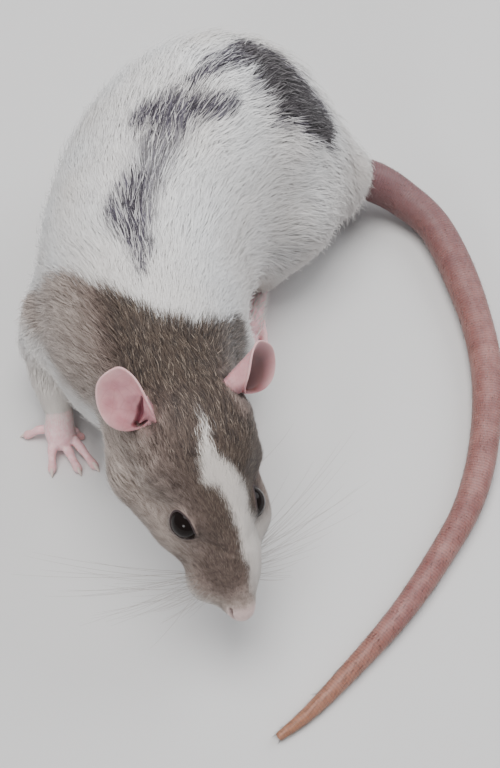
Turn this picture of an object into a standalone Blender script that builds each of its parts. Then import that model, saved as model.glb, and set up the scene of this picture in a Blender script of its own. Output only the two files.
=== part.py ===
"""A young hooded pet rat at life size, curled round to its left with its tail swept forward along the floor.

It faces -Y, +X is on its left and +Z is up. The sizes below are in millimetres in the frame of the pose, whose
zero lies on the floor under the shoulders. The last step centres the finished rat over the origin, in metres.
"""

import math

import bmesh
import bpy
import numpy as np
from mathutils import Matrix, Vector
from mathutils.bvhtree import BVHTree

MM = 0.001
GAP = 0.3
FLOOR_SINK = 0.35
UP = Vector((0.0, 0.0, 1.0))

# Trunk sections: centre x, y, z, half width, rise to the back and drop to the belly.
TRUNK = {
    "nape": (-14.0, -27.0, 31.0, 11.0, 13.5, 13.0),
    "neck": (-16.0, -20.0, 28.5, 14.5, 18.0, 16.0),
    "shoulders": (-19.0, -11.0, 25.0, 18.5, 22.5, 18.5),
    "chest": (-21.0, 0.0, 22.5, 21.0, 25.5, 18.0),
    "ribs": (-21.5, 12.0, 22.0, 22.5, 28.5, 18.0),
    "loin": (-19.0, 25.0, 22.0, 23.5, 30.0, 18.0),
    "flank": (-13.5, 38.5, 22.0, 24.0, 31.5, 18.0),
    "hip": (-3.5, 45.5, 21.5, 24.0, 31.0, 17.5),
    "croup": (7.0, 47.5, 20.0, 21.5, 26.5, 16.5),
    "rump": (15.5, 48.5, 17.0, 16.0, 19.0, 13.5),
    "seat": (22.0, 49.8, 12.5, 9.8, 10.5, 9.5),
    "dock": (29.0, 50.2, 8.8, 5.2, 5.2, 5.2),
}
TRUNK_STEPS = 40

# Head frame: zero at the nose tip, x forward, y to the rat's left, z up.
NOSE_TIP = Vector((-1.0, -59.1, 17.5))
HEAD_FORWARD = Vector((0.35, -0.84, -0.43))
HEAD_UP = Vector((0.48, -0.23, 0.85))

# Head sections: distance behind the nose tip, half width, height of the top and of the bottom, and how
# rounded the upper sides are, from 1 for an ellipse down to 0 for a box.
HEAD = {
    "nose": (-0.9, 1.4, 0.8, -1.6, 1.0),
    "nose pad": (0.7, 2.6, 2.4, -2.9, 1.0),
    "upper lip": (3.6, 4.2, 4.3, -5.6, 1.0),
    "whisker roots": (7.0, 5.6, 6.2, -6.6, 1.0),
    "muzzle": (12.0, 7.0, 8.6, -7.4, 1.0),
    "eyes": (19.5, 8.9, 11.6, -9.4, 1.0),
    "brow": (25.0, 10.6, 13.6, -11.2, 0.88),
    "cheeks": (30.5, 12.4, 14.6, -12.6, 0.8),
    "ears": (36.0, 13.2, 14.8, -13.2, 0.86),
    "occiput": (42.0, 12.8, 12.8, -13.0, 0.95),
    "nape": (47.0, 10.0, 9.0, -11.0, 1.0),
}
HEAD_STEPS = 44
HEAD_WIDEST = 0.46

# Lower jaw: distance behind the nose tip, height and radius of the tube under the muzzle.
JAW = (
    (31.0, -6.0, 7.0),
    (24.0, -8.0, 6.2),
    (17.0, -7.8, 5.0),
    (12.0, -7.2, 3.8),
    (9.0, -6.6, 2.9),
    (7.2, -6.3, 1.9),
)

# Bulges on each side of the head: centre in the head frame and radii along it, across it and up.
WHISKER_PAD = ((-7.8, 3.1, -3.0), (4.9, 3.4, 3.8))
CHEEK = ((-29.5, 6.8, -3.4), (9.5, 5.9, 7.8))
TEMPLE = ((-29.5, 6.4, 3.8), (11.0, 5.8, 7.4))

EYE_CENTRE = Vector((-19.0, 6.1, 4.2))
EYE_FACING = Vector((0.26, 0.86, 0.44))
EYE_RADIUS = 3.1
LID_HALF_LENGTH = 2.65
LID_HALF_HEIGHT = 1.95
LID_THICKNESS = 0.85
LID_FOLD = 1.3
LID_WAY = (1.0, 0.0, -0.22)
LID_POINTS = 0.25
# The opening between the lids, from inside the eye outwards: distance from its centre and scale.
LID_RINGS = ((0.8, 0.9), (EYE_RADIUS, 1.0), (2 * EYE_RADIUS, 1.25))

MOUTH_LINE = (
    (-1.2, 0.0, -2.8),
    (-1.9, 0.0, -4.4),
    (-3.0, 0.5, -5.9),
    (-5.0, 2.3, -6.6),
    (-8.0, 4.4, -6.5),
    (-11.0, 5.6, -5.6),
)
NOSTRIL_LINE = ((-0.7, 0.75, -0.9), (-1.0, 1.5, -0.6), (-1.9, 2.2, 0.1))
GROOVE_RADIUS = 0.42

# Each ear in the head frame: middle of its rim, way its cup opens and place of its canal.
EARS = {
    "ear_right": ((-40.6, -13.4, 12.2), (0.30, -0.70, 0.65), (-37.3, -11.0, 9.8)),
    "ear_left": ((-39.4, 12.6, 13.8), (0.35, 0.44, 0.82), (-37.3, 11.0, 9.8)),
}
EAR_LENGTH = 12.8
EAR_WIDTH = 11.4
EAR_BELLY = 1.5
EAR_NOTCH = 2.6
EAR_WALL = 0.8
EAR_ANGLES = 22
EAR_RINGS = 4

# Limbs: points x, y, z and radius, from the body down to the wrist or the hock.
LIMBS = {
    "arm_right": (
        (-35, 1, 22, 12.5),
        (-39, 3, 16, 10),
        (-41, 0, 11, 7),
        (-40.5, -6, 8, 5),
        (-39.8, -11, 5.2, 3.3),
    ),
    "arm_left": (
        (-10, -8, 21, 10),
        (-6, -3, 15, 8.5),
        (-6, -4, 10, 7),
        (-7, -8, 7.5, 5),
        (-7.6, -13.3, 5.2, 3.3),
    ),
    "shank_right": ((-20, 50, 14, 8), (-14, 56, 9, 6.5), (-6, 60, 5.5, 4.8), (0, 62, 4.2, 3.4)),
    "shank_left": ((0.5, 22, 12, 8), (2.5, 28, 8, 6.5), (4, 34, 5.5, 4.8), (4.5, 38, 4.2, 3.4)),
}

# Thighs: centre and radii of the haunch, then its turn about the upright axis in degrees.
THIGHS = {
    "thigh_right": ((-13.0, 54.0, 17.0), (18.0, 13.0, 15.5), 33.0),
    "thigh_left": ((5.5, 35.5, 17.5), (17.0, 14.5, 15.0), 68.0),
}

# Paws: wrist or hock, middle of the palm or sole, then the root and tip of each digit on the floor.
FOREPAW_RIGHT = {
    "root": (-39.8, -10.0, 5.2, 3.0),
    "palm": (-39.8, -13.4, 3.3, 3.5),
    "knuckles": (-39.6, -14.8, 2.6, 3.0),
    "digits": (
        ((-42.2, -12.6), (-47.2, -13.2)),
        ((-41.2, -15.2), (-41.0, -21.6)),
        ((-39.0, -15.8), (-35.6, -21.4)),
        ((-37.4, -14.6), (-32.2, -20.6)),
    ),
    "thumb": ((-37.6, -12.4), (-35.4, -13.6)),
}
FOREPAW_LEFT_SHIFT = (32.2, -2.4)
FORE_DIGIT_RADIUS = 1.15
FORE_KNUCKLE_HEIGHT = 2.6
FORE_CLAW_LENGTH = 2.0
THUMB_RADIUS = 0.92
THUMB_HEIGHT = 1.8
THUMB_CLAW_LENGTH = 1.0

HINDPAWS = {
    "hindpaw_left": ((4.6, 38.5), (-0.4, 13.5)),
    "hindpaw_right": ((0.0, 62.5), (-22.5, 53.0)),
}
# Sole: place between heel and ball, height and radius.
SOLE = ((0.0, 3.2, 2.9), (0.35, 2.6, 2.7), (0.75, 2.5, 3.0), (1.0, 2.3, 3.0))
HIND_DIGIT_LENGTHS = (6.0, 8.6, 9.2, 8.8, 6.4)
HIND_KNUCKLE_SPACING = 1.25
HIND_KNUCKLE_HEIGHT = 2.0
HIND_SIDE_SETBACK = 1.6
HIND_DIGIT_SPREAD = math.radians(11.0)
HIND_DIGIT_RADIUS = 1.2
HIND_CLAW_LENGTH = 2.2

# Tail: middle line along the floor, from the dock to the tip.
TAIL = (
    (28.2, 50.3, 9.0),
    (35.6, 47.6, 6.0),
    (43.4, 39.1, 4.3),
    (49.1, 19.6, 3.7),
    (51.0, 1.1, 3.4),
    (48.7, -16.2, 3.1),
    (44.3, -30.0, 2.8),
    (37.2, -42.0, 2.5),
    (28.6, -53.8, 2.1),
    (18.6, -64.7, 1.7),
    (11.0, -72.2, 1.3),
    (5.1, -76.8, 1.0),
)
TAIL_RADII = (4.7, 4.4, 4.0, 3.75, 3.45, 3.2, 2.9, 2.6, 2.2, 1.8, 1.35, 0.8)
TAIL_SIDES = 10
TAIL_STEPS = 70
TAIL_LENGTHS = 5
TAIL_TIP_SCALE = 0.45

# Cuts across the body behind each of these parts: a point on the cut and the way towards the nose.
TRUNK_CUTS = (
    ("head", (-15.6, -22.0, 34.0), (0.28, -0.90, -0.32)),
    ("neck", (-18.5, -9.0, 25.0), (0.16, -0.98, -0.12)),
    ("chest", (-20.8, 18.0, 24.0), (-0.10, -1.0, 0.0)),
    ("loin", (-9.0, 40.0, 22.0), (-0.80, -0.60, 0.0)),
)

# How much wider than a leg and than a haunch the regions are that take them out of the body.
LEG_MARGIN = 1.2
HAUNCH_MARGIN = 3.0

# The coat blurs the form more and more between these distances behind the nose tip.
COAT_STARTS = 22.0
COAT_FULL = 42.0
FINE_STEP = 0.5
FACE_SMOOTHING = 10
COAT_SMOOTHING = 90
BODY_SIDES = 32
BODY_TRIANGLES = 1900
FACE_TRIANGLES = 2500
PAW_TRIANGLES = 560

HOOD_BROWN = (0.20, 0.165, 0.13)
WHITE_FUR = (0.78, 0.76, 0.72)
PINK_SKIN = (0.72, 0.44, 0.40)
TAIL_PINK = (0.52, 0.33, 0.31)
EYE_BLACK = (0.012, 0.009, 0.008)


def clear_scene():
    """Remove every object that the file starts with."""
    for item in list(bpy.data.objects):
        bpy.data.objects.remove(item, do_unlink=True)


def smooth_rows(rows, steps):
    """Read a smooth curve through rows of numbers at evenly spaced steps."""
    rows = np.array(rows, dtype=float)
    padded = np.vstack([2 * rows[0] - rows[1], rows, 2 * rows[-1] - rows[-2]])
    curve = []
    for place in np.linspace(0.0, len(rows) - 1.0, steps):
        index = min(int(place), len(rows) - 2)
        part = place - index
        before, start, end, after = padded[index:index + 4]
        bend = 2 * before - 5 * start + 4 * end - after
        twist = 3 * start - before - 3 * end + after
        curve.append(0.5 * (2 * start + (end - before) * part + bend * part ** 2 + twist * part ** 3))
    return np.array(curve)


def add_object(name, points, faces):
    """Make a mesh object from points and faces, with its faces turned outwards."""
    mesh = bpy.data.meshes.new(name)
    mesh.from_pydata([tuple(point) for point in points], [], faces)
    work = bmesh.new()
    work.from_mesh(mesh)
    bmesh.ops.recalc_face_normals(work, faces=work.faces)
    work.to_mesh(mesh)
    work.free()
    item = bpy.data.objects.new(name, mesh)
    bpy.context.scene.collection.objects.link(item)
    return item


def closed_tube(name, rings):
    """Join rings of points into a tube, with a point at the middle of each end."""
    steps, sides = rings.shape[:2]
    points = list(rings.reshape(-1, 3))
    points.append(rings[0].mean(axis=0))
    points.append(rings[-1].mean(axis=0))
    faces = []
    for step in range(steps - 1):
        for side in range(sides):
            near = step * sides + side
            next_near = step * sides + (side + 1) % sides
            faces.append((near, next_near, next_near + sides, near + sides))
    last = (steps - 1) * sides
    for side in range(sides):
        beside = (side + 1) % sides
        faces.append((beside, side, steps * sides))
        faces.append((last + side, last + beside, steps * sides + 1))
    return add_object(name, points, faces)


def sweep_rings(path, radii, sides):
    """Set round rings across a path, each turned as little as possible from the one before it."""
    path = np.array(path, dtype=float)
    ways = np.gradient(path, axis=0)
    across = np.cross(ways[0], (0.0, 0.0, 1.0))
    if np.linalg.norm(across) < 1e-6:
        across = np.array((1.0, 0.0, 0.0))
    angles = np.linspace(0.0, 2 * math.pi, sides, endpoint=False)
    rings = []
    for point, way, radius in zip(path, ways, radii):
        way = way / np.linalg.norm(way)
        across = across - way * np.dot(across, way)
        across = across / np.linalg.norm(across)
        upward = np.cross(across, way)
        ring = np.outer(np.cos(angles), across) + np.outer(np.sin(angles), upward)
        rings.append(point + radius * ring)
    return np.array(rings)


def limb(name, rows, sides=16, steps=14, dome_rows=(0.4, 0.75, 0.95)):
    """Make a tapering limb through rows of x, y, z and radius, with a domed end."""
    curve = smooth_rows(rows, steps)
    way = curve[-1, :3] - curve[-2, :3]
    way = way / np.linalg.norm(way)
    dome = [np.append(curve[-1, :3] + way * curve[-1, 3] * part, curve[-1, 3] * math.sqrt(1.0 - part ** 2))
            for part in dome_rows]
    curve = np.vstack([curve, dome])
    return closed_tube(name, sweep_rings(curve[:, :3], curve[:, 3], sides))


def ellipsoid(name, centre, radii, turn=Matrix.Identity(3), segments=24, rings=16):
    """Make an ellipsoid from its centre, radii and turn."""
    work = bmesh.new()
    bmesh.ops.create_uvsphere(work, u_segments=segments, v_segments=rings, radius=1.0)
    shape = turn @ Matrix.Diagonal(Vector(radii))
    for vertex in work.verts:
        vertex.co = Vector(centre) + shape @ vertex.co
    mesh = bpy.data.meshes.new(name)
    work.to_mesh(mesh)
    work.free()
    item = bpy.data.objects.new(name, mesh)
    bpy.context.scene.collection.objects.link(item)
    return item


def head_turn():
    """The head's axes as a rotation: forward, left and up."""
    forward = HEAD_FORWARD.normalized()
    left = HEAD_UP.cross(forward).normalized()
    return Matrix((forward, left, forward.cross(left))).transposed()


def from_head(point):
    """Turn a place in the head frame into a place in the pose."""
    return NOSE_TIP + head_turn() @ Vector(point)


def mirrored(point, side):
    """A place in the head frame on the left side (1) or the right side (-1)."""
    return Vector((point[0], point[1] * side, point[2]))


def apply_modifiers(item):
    """Bake an object's modifiers into its mesh."""
    bpy.context.view_layer.update()
    seen = item.evaluated_get(bpy.context.evaluated_depsgraph_get())
    mesh = bpy.data.meshes.new_from_object(seen)
    item.modifiers.clear()
    item.data = mesh


def join_meshes(name, items):
    """Put the meshes of several objects into one object and remove the others."""
    work = bmesh.new()
    for item in items:
        work.from_mesh(item.data)
        bpy.data.objects.remove(item, do_unlink=True)
    mesh = bpy.data.meshes.new(name)
    work.to_mesh(mesh)
    work.free()
    joined = bpy.data.objects.new(name, mesh)
    bpy.context.scene.collection.objects.link(joined)
    return joined


def keep_largest(item):
    """Triangulate a mesh and keep only its largest closed surface."""
    work = bmesh.new()
    work.from_mesh(item.data)
    bmesh.ops.triangulate(work, faces=work.faces)
    seen = set()
    shells = []
    for start in work.faces:
        if start in seen:
            continue
        shell = {start}
        front = [start]
        while front:
            face = front.pop()
            for edge in face.edges:
                for beside in edge.link_faces:
                    if beside not in shell:
                        shell.add(beside)
                        front.append(beside)
        seen |= shell
        shells.append(shell)
    largest = max(shells, key=lambda shell: sum(face.calc_area() for face in shell))
    scraps = [face for face in work.faces if face not in largest]
    bmesh.ops.delete(work, geom=scraps, context="FACES")
    loose = [vertex for vertex in work.verts if not vertex.link_faces]
    bmesh.ops.delete(work, geom=loose, context="VERTS")
    work.to_mesh(item.data)
    work.free()


def combine(item, operation, cutter, solver="EXACT"):
    """Cut, join or intersect an object with a cutter, which stays as it is."""
    modifier = item.modifiers.new("combine", "BOOLEAN")
    modifier.operation = operation
    modifier.object = cutter
    modifier.solver = solver
    apply_modifiers(item)
    keep_largest(item)


def unite(name, pieces):
    """Join closed pieces into one closed body with a single union."""
    group = bpy.data.collections.new(name + "_pieces")
    bpy.context.scene.collection.children.link(group)
    body = pieces[0]
    for piece in pieces[1:]:
        bpy.context.scene.collection.objects.unlink(piece)
        group.objects.link(piece)
    modifier = body.modifiers.new("union", "BOOLEAN")
    modifier.operation = "UNION"
    modifier.operand_type = "COLLECTION"
    modifier.collection = group
    modifier.solver = "EXACT"
    apply_modifiers(body)
    for piece in pieces[1:]:
        bpy.data.objects.remove(piece, do_unlink=True)
    bpy.data.collections.remove(group)
    body.name = name
    keep_largest(body)
    return body


def copy_object(item, name):
    """Copy an object with its own mesh."""
    twin = bpy.data.objects.new(name, item.data.copy())
    bpy.context.scene.collection.objects.link(twin)
    return twin


def grown(item, distance, name):
    """Copy a body with its surface moved out by a distance."""
    twin = copy_object(item, name)
    modifier = twin.modifiers.new("grow", "DISPLACE")
    modifier.strength = distance
    modifier.mid_level = 0.0
    apply_modifiers(twin)
    return twin


def discard(item):
    """Remove an object that has done its work."""
    bpy.data.objects.remove(item, do_unlink=True)


def half_space(name, point, way, offset, size=300.0):
    """A large block that fills the side of a plane that a way points to."""
    item = ellipsoid(name, (0, 0, 0), (1, 1, 1))
    work = bmesh.new()
    bmesh.ops.create_cube(work, size=size)
    way = Vector(way).normalized()
    turn = way.to_track_quat("Z", "Y").to_matrix()
    centre = Vector(point) + way * (size / 2 + offset)
    for vertex in work.verts:
        vertex.co = centre + turn @ vertex.co
    work.to_mesh(item.data)
    work.free()
    return item


def trunk():
    """The trunk from nape to dock, as rounded sections across the bent line of the spine."""
    rows = smooth_rows(list(TRUNK.values()), TRUNK_STEPS)
    angles = np.linspace(0.0, 2 * math.pi, BODY_SIDES, endpoint=False)
    ways = np.gradient(rows[:, :2], axis=0)
    rings = []
    for row, way in zip(rows, ways):
        centre, width, rise, drop = row[:3], row[3], row[4], row[5]
        across = np.array((-way[1], way[0], 0.0)) / np.linalg.norm(way)
        heights = np.where(np.sin(angles) > 0, rise, drop) * np.sin(angles)
        rings.append(centre + np.outer(width * np.cos(angles), across) + np.outer(heights, (0.0, 0.0, 1.0)))
    return closed_tube("trunk", np.array(rings))


def head_shape():
    """The skull and muzzle with the lower jaw, whisker pads and cheeks."""
    rows = smooth_rows(list(HEAD.values()), HEAD_STEPS)
    angles = np.linspace(0.0, 2 * math.pi, BODY_SIDES, endpoint=False)
    rings = []
    for back, width, top, bottom, roundness in rows:
        middle = bottom + HEAD_WIDEST * (top - bottom)
        ring = []
        for angle in angles:
            power = roundness if math.sin(angle) > 0 else 1.0
            half = top - middle if math.sin(angle) > 0 else middle - bottom
            side = width * math.copysign(abs(math.cos(angle)) ** power, math.cos(angle))
            height = middle + half * math.copysign(abs(math.sin(angle)) ** power, math.sin(angle))
            ring.append(tuple(from_head((-back, side, height))))
        rings.append(ring)
    pieces = [closed_tube("skull", np.array(rings))]
    jaw = [(*from_head((-back, 0.0, height)), radius) for back, height, radius in JAW]
    pieces.append(limb("jaw", jaw))
    for side in (1, -1):
        for centre, radii in (WHISKER_PAD, CHEEK, TEMPLE):
            pieces.append(ellipsoid("bulge", from_head(mirrored(centre, side)), radii, head_turn()))
    return pieces


def whole_body():
    """Fuse trunk, head and limbs into one skin and smooth the places where they meet."""
    pieces = [trunk()] + head_shape()
    for name, rows in LIMBS.items():
        pieces.append(limb(name, rows))
    for name, (centre, radii, turn) in THIGHS.items():
        pieces.append(ellipsoid(name, centre, radii, Matrix.Rotation(math.radians(turn), 3, "Z")))
    body = join_meshes("body", pieces)
    fuse = body.modifiers.new("fuse", "REMESH")
    fuse.mode = "VOXEL"
    fuse.voxel_size = FINE_STEP
    apply_modifiers(body)
    coat = body.vertex_groups.new(name="coat")
    for vertex in body.data.vertices:
        behind = -(vertex.co - NOSE_TIP).dot(HEAD_FORWARD.normalized())
        share = (behind - COAT_STARTS) / (COAT_FULL - COAT_STARTS)
        coat.add([vertex.index], min(1.0, max(0.0, share)), "REPLACE")
    for group, rounds in (("", FACE_SMOOTHING), ("coat", COAT_SMOOTHING)):
        smooth = body.modifiers.new("smooth", "SMOOTH")
        smooth.factor = 0.5
        smooth.iterations = rounds
        smooth.vertex_group = group
    apply_modifiers(body)
    body.vertex_groups.clear()
    return body


def eye_axes(side):
    """The axes of one eye in the head frame: along the lids, across them and outwards."""
    facing = mirrored(EYE_FACING, side).normalized()
    along = Vector(LID_WAY)
    along = (along - facing * along.dot(facing)).normalized()
    return along, facing.cross(along) * side, facing


def lid_places(points, side):
    """Place points round one eye: along the lids, across them, outwards, and their distance from its centre."""
    local = (points - np.array(NOSE_TIP)) @ np.array(head_turn())
    offset = local - np.array(mirrored(EYE_CENTRE, side))
    along, across, outward = (offset @ np.array(axis) for axis in eye_axes(side))
    return along, across, outward, np.linalg.norm(offset, axis=1)


def lid_opening(name, side):
    """The almond between the lids as a solid that widens outwards from inside the eye."""
    along, across, facing = eye_axes(side)
    centre = mirrored(EYE_CENTRE, side)
    rings = []
    for outward, scale in LID_RINGS:
        ring = []
        for angle in np.linspace(0.0, 2 * math.pi, 20, endpoint=False):
            length = LID_HALF_LENGTH * scale * math.cos(angle)
            height = LID_HALF_HEIGHT * scale * math.sin(angle) * abs(math.sin(angle)) ** LID_POINTS
            ring.append(tuple(from_head(centre + facing * outward + along * length + across * height)))
        rings.append(ring)
    return closed_tube(name, np.array(rings))


def shape_lids(body):
    """Raise the skin over each eyeball to the thickness of the lids."""
    count = len(body.data.vertices)
    flat = np.empty(count * 3)
    body.data.vertices.foreach_get("co", flat)
    points = flat.reshape(-1, 3)
    for side in (1, -1):
        along, across, outward, reach = lid_places(points, side)
        centre = np.array(from_head(mirrored(EYE_CENTRE, side)))
        almond = np.sqrt((along / LID_HALF_LENGTH) ** 2 + (across / LID_HALF_HEIGHT) ** 2)
        fade = np.clip((1.0 + LID_FOLD - almond) / LID_FOLD, 0.0, 1.0)
        fade = fade * fade * (3 - 2 * fade)
        target = reach + fade * (EYE_RADIUS + LID_THICKNESS - reach)
        near = (outward > 0) & (reach < 2 * EYE_RADIUS)
        scale = np.where(near, target / np.maximum(reach, 1e-6), 1.0)
        points = centre + (points - centre) * scale[:, None]
    body.data.vertices.foreach_set("co", points.reshape(-1))
    body.data.update()


def thin_out(body):
    """Thin the mesh out in two passes, so that the head keeps more triangles than the trunk."""
    turn = np.array(head_turn())
    for part, wanted in (("trunk", BODY_TRIANGLES), ("head", FACE_TRIANGLES)):
        work = bmesh.new()
        work.from_mesh(body.data)
        bmesh.ops.triangulate(work, faces=work.faces)
        work.to_mesh(body.data)
        work.free()
        flat = np.empty(len(body.data.vertices) * 3)
        body.data.vertices.foreach_get("co", flat)
        ahead = (flat.reshape(-1, 3) - np.array(NOSE_TIP)) @ turn[:, 0]
        chosen = ahead > -COAT_FULL if part == "head" else ahead <= -COAT_FULL
        group = body.vertex_groups.new(name=part)
        group.add([int(index) for index in np.nonzero(chosen)[0]], 1.0, "REPLACE")
        sets = np.array([chosen[list(face.vertices)].all() for face in body.data.polygons])
        modifier = body.modifiers.new("thin", "DECIMATE")
        modifier.vertex_group = part
        modifier.ratio = (len(sets) - sets.sum() + wanted) / len(sets)
        apply_modifiers(body)
        body.vertex_groups.clear()


def material(name, colour, roughness):
    """A plain material with one colour and one roughness."""
    made = bpy.data.materials.new(name)
    made.use_nodes = True
    shader = made.node_tree.nodes["Principled BSDF"]
    shader.inputs["Base Color"].default_value = (*colour, 1.0)
    shader.inputs["Roughness"].default_value = roughness
    shader.inputs["Metallic"].default_value = 0.0
    return made


def finish_node(item, name, colour, roughness=0.8):
    """Name a finished node and give it its own material."""
    item.name = name
    item.data.name = name
    item.data.materials.clear()
    item.data.materials.append(material(name, colour, roughness))
    item.data.shade_smooth()
    return item


def take_part(body, region, name):
    """Take the part of the body inside a region away from it, leaving the parting gap."""
    taken = copy_object(body, name)
    combine(taken, "INTERSECT", region, "MANIFOLD")
    wider = grown(region, GAP, "wider")
    combine(body, "DIFFERENCE", wider, "MANIFOLD")
    discard(wider)
    discard(region)
    return taken


def part_by_plane(body, name, point, way):
    """Take the part of the body ahead of a plane away from it, leaving the parting gap."""
    taken = copy_object(body, name)
    ahead = half_space("ahead", point, way, GAP / 2)
    combine(taken, "INTERSECT", ahead, "MANIFOLD")
    discard(ahead)
    behind = half_space("behind", point, -Vector(way), GAP / 2)
    combine(body, "INTERSECT", behind, "MANIFOLD")
    discard(behind)
    return taken


def surface_path(tree, rows):
    """Set each point of a line in the head frame onto the nearest place of the skin."""
    places = [tree.find_nearest(from_head(row))[0] for row in smooth_rows(rows, 9)]
    return [tuple(place) for place in places]


def cut_face(head):
    """Cut the mouth, the nostrils and the sockets into the head."""
    work = bmesh.new()
    work.from_mesh(head.data)
    tree = BVHTree.FromBMesh(work)
    work.free()
    for side in (1, -1):
        for line in (MOUTH_LINE, NOSTRIL_LINE):
            rows = [tuple(mirrored(row, side)) for row in line]
            path = surface_path(tree, rows)
            radii = np.full(len(path), GROOVE_RADIUS)
            radii[0] = radii[-1] = GROOVE_RADIUS * 0.4
            groove = closed_tube("groove", sweep_rings(path, radii, 6))
            combine(head, "DIFFERENCE", groove, "MANIFOLD")
            discard(groove)
        centre = from_head(mirrored(EYE_CENTRE, side))
        socket = ellipsoid("socket", centre, [EYE_RADIUS + GAP] * 3, segments=16, rings=10)
        socket = unite("socket", [socket, lid_opening("lids", side)])
        combine(head, "DIFFERENCE", socket, "MANIFOLD")
        discard(socket)


def eyeball(name, side):
    """One eyeball, set in its socket with the gap of touching parts."""
    eye = ellipsoid(name, from_head(mirrored(EYE_CENTRE, side)), [EYE_RADIUS] * 3, segments=16, rings=10)
    keep_largest(eye)
    return finish_node(eye, name, EYE_BLACK, 0.08)


def ear(name, body_wider):
    """One ear: a thin cup that widens from the canal to a round rim, lowest at the notch in front."""
    middle, opening, canal = (Vector(row) for row in EARS[name])
    opening.normalize()
    length_way = middle - canal
    length_way = (length_way - opening * length_way.dot(opening)).normalized()
    width_way = opening.cross(length_way)
    points = [from_head(canal - opening * EAR_BELLY)]
    for ring in range(1, EAR_RINGS + 1):
        part = ring / EAR_RINGS
        for index in range(EAR_ANGLES):
            angle = 2 * math.pi * index / EAR_ANGLES
            notch = EAR_NOTCH * max(0.0, -math.cos(angle)) ** 3
            rim = middle + length_way * (math.cos(angle) * EAR_LENGTH / 2)
            rim += width_way * (math.sin(angle) * EAR_WIDTH / 2) - opening * notch
            belly = opening * (EAR_BELLY * math.cos(math.pi / 2 * part))
            points.append(from_head(canal.lerp(rim, part) - belly))
    faces = []
    for index in range(EAR_ANGLES):
        beside = (index + 1) % EAR_ANGLES
        faces.append((0, 1 + index, 1 + beside))
        for ring in range(EAR_RINGS - 1):
            low = 1 + ring * EAR_ANGLES
            high = low + EAR_ANGLES
            faces.append((low + index, high + index, high + beside))
            faces.append((low + index, high + beside, low + beside))
    cup = add_object(name, points, faces)
    wall = cup.modifiers.new("wall", "SOLIDIFY")
    wall.thickness = EAR_WALL
    wall.offset = 0.0
    apply_modifiers(cup)
    keep_largest(cup)
    combine(cup, "DIFFERENCE", body_wider)
    return finish_node(cup, name, PINK_SKIN, 0.6)


def claw(place, way, radius, length):
    """A small claw that curves down to the floor ahead of its digit."""
    way = Vector((way[0], way[1], 0.0)).normalized()
    rows = []
    for part in (0.0, 0.5, 1.0):
        height = place[2] * (1.0 - part ** 2) + 0.15
        forward = Vector((place[0], place[1], 0.0)) + way * (length * part - 0.5 * radius)
        rows.append((forward.x, forward.y, height, radius * 0.75 * (1.0 - part) + 0.12))
    rows = np.array(rows)
    return closed_tube("claw", sweep_rings(rows[:, :3], rows[:, 3], 5))


def digit(root, tip, root_height, radius, claw_length):
    """One digit that arches from its knuckle to the floor, with a round pad at its tip and a claw."""
    root = Vector((*root, root_height))
    tip = Vector((*tip, radius - FLOOR_SINK))
    way = tip - root
    middle = root + way * 0.5 + UP * 0.5
    rows = (
        (*root, radius * 1.15),
        (*middle, radius * 0.85),
        (*(root + way * 0.82), radius * 0.9),
        (*tip, radius * 0.95),
    )
    return [limb("digit", rows, 6, 4, (0.55, 0.92)), claw(tip, way, radius, claw_length)]


def on_floor(item):
    """Thin out a paw's mesh and cut its underside to a flat on the floor."""
    thin = item.modifiers.new("thin", "DECIMATE")
    thin.ratio = PAW_TRIANGLES / len(item.data.polygons)
    apply_modifiers(item)
    below = half_space("below", (0, 0, 0), (0, 0, -1), 0.0)
    combine(item, "DIFFERENCE", below)
    discard(below)


def forepaw(name, shift, body_wider):
    """One forepaw: wrist, palm, four clawed digits and the small thumb."""
    def moved(row):
        return (row[0] + shift[0], row[1] + shift[1], *row[2:])
    rows = [moved(FOREPAW_RIGHT[key]) for key in ("root", "palm", "knuckles")]
    pieces = [limb("palm", rows, 10, 4, (0.5, 0.9))]
    for root, tip in FOREPAW_RIGHT["digits"]:
        pieces += digit(moved(root), moved(tip), FORE_KNUCKLE_HEIGHT, FORE_DIGIT_RADIUS, FORE_CLAW_LENGTH)
    root, tip = FOREPAW_RIGHT["thumb"]
    pieces += digit(moved(root), moved(tip), THUMB_HEIGHT, THUMB_RADIUS, THUMB_CLAW_LENGTH)
    paw = unite(name, pieces)
    on_floor(paw)
    combine(paw, "DIFFERENCE", body_wider)
    return finish_node(paw, name, PINK_SKIN, 0.6)


def hindpaw(name, body_wider):
    """One hind foot flat on the floor: heel, sole and five clawed digits."""
    heel, ball = (Vector(place) for place in HINDPAWS[name])
    way = (ball - heel).normalized()
    across = Vector((-way.y, way.x))
    rows = [(*heel.lerp(ball, place), height, radius) for place, height, radius in SOLE]
    pieces = [limb("sole", rows, 10, 5, (0.5, 0.9))]
    for index, length in enumerate(HIND_DIGIT_LENGTHS):
        place = index - 2
        angle = place * HIND_DIGIT_SPREAD
        toe_way = way * math.cos(angle) + across * math.sin(angle)
        root = ball + across * (place * HIND_KNUCKLE_SPACING)
        if abs(place) == 2:
            root -= way * HIND_SIDE_SETBACK
        tip = root + toe_way * length
        pieces += digit(tuple(root), tuple(tip), HIND_KNUCKLE_HEIGHT, HIND_DIGIT_RADIUS, HIND_CLAW_LENGTH)
    paw = unite(name, pieces)
    on_floor(paw)
    combine(paw, "DIFFERENCE", body_wider)
    return finish_node(paw, name, PINK_SKIN, 0.6)


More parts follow.
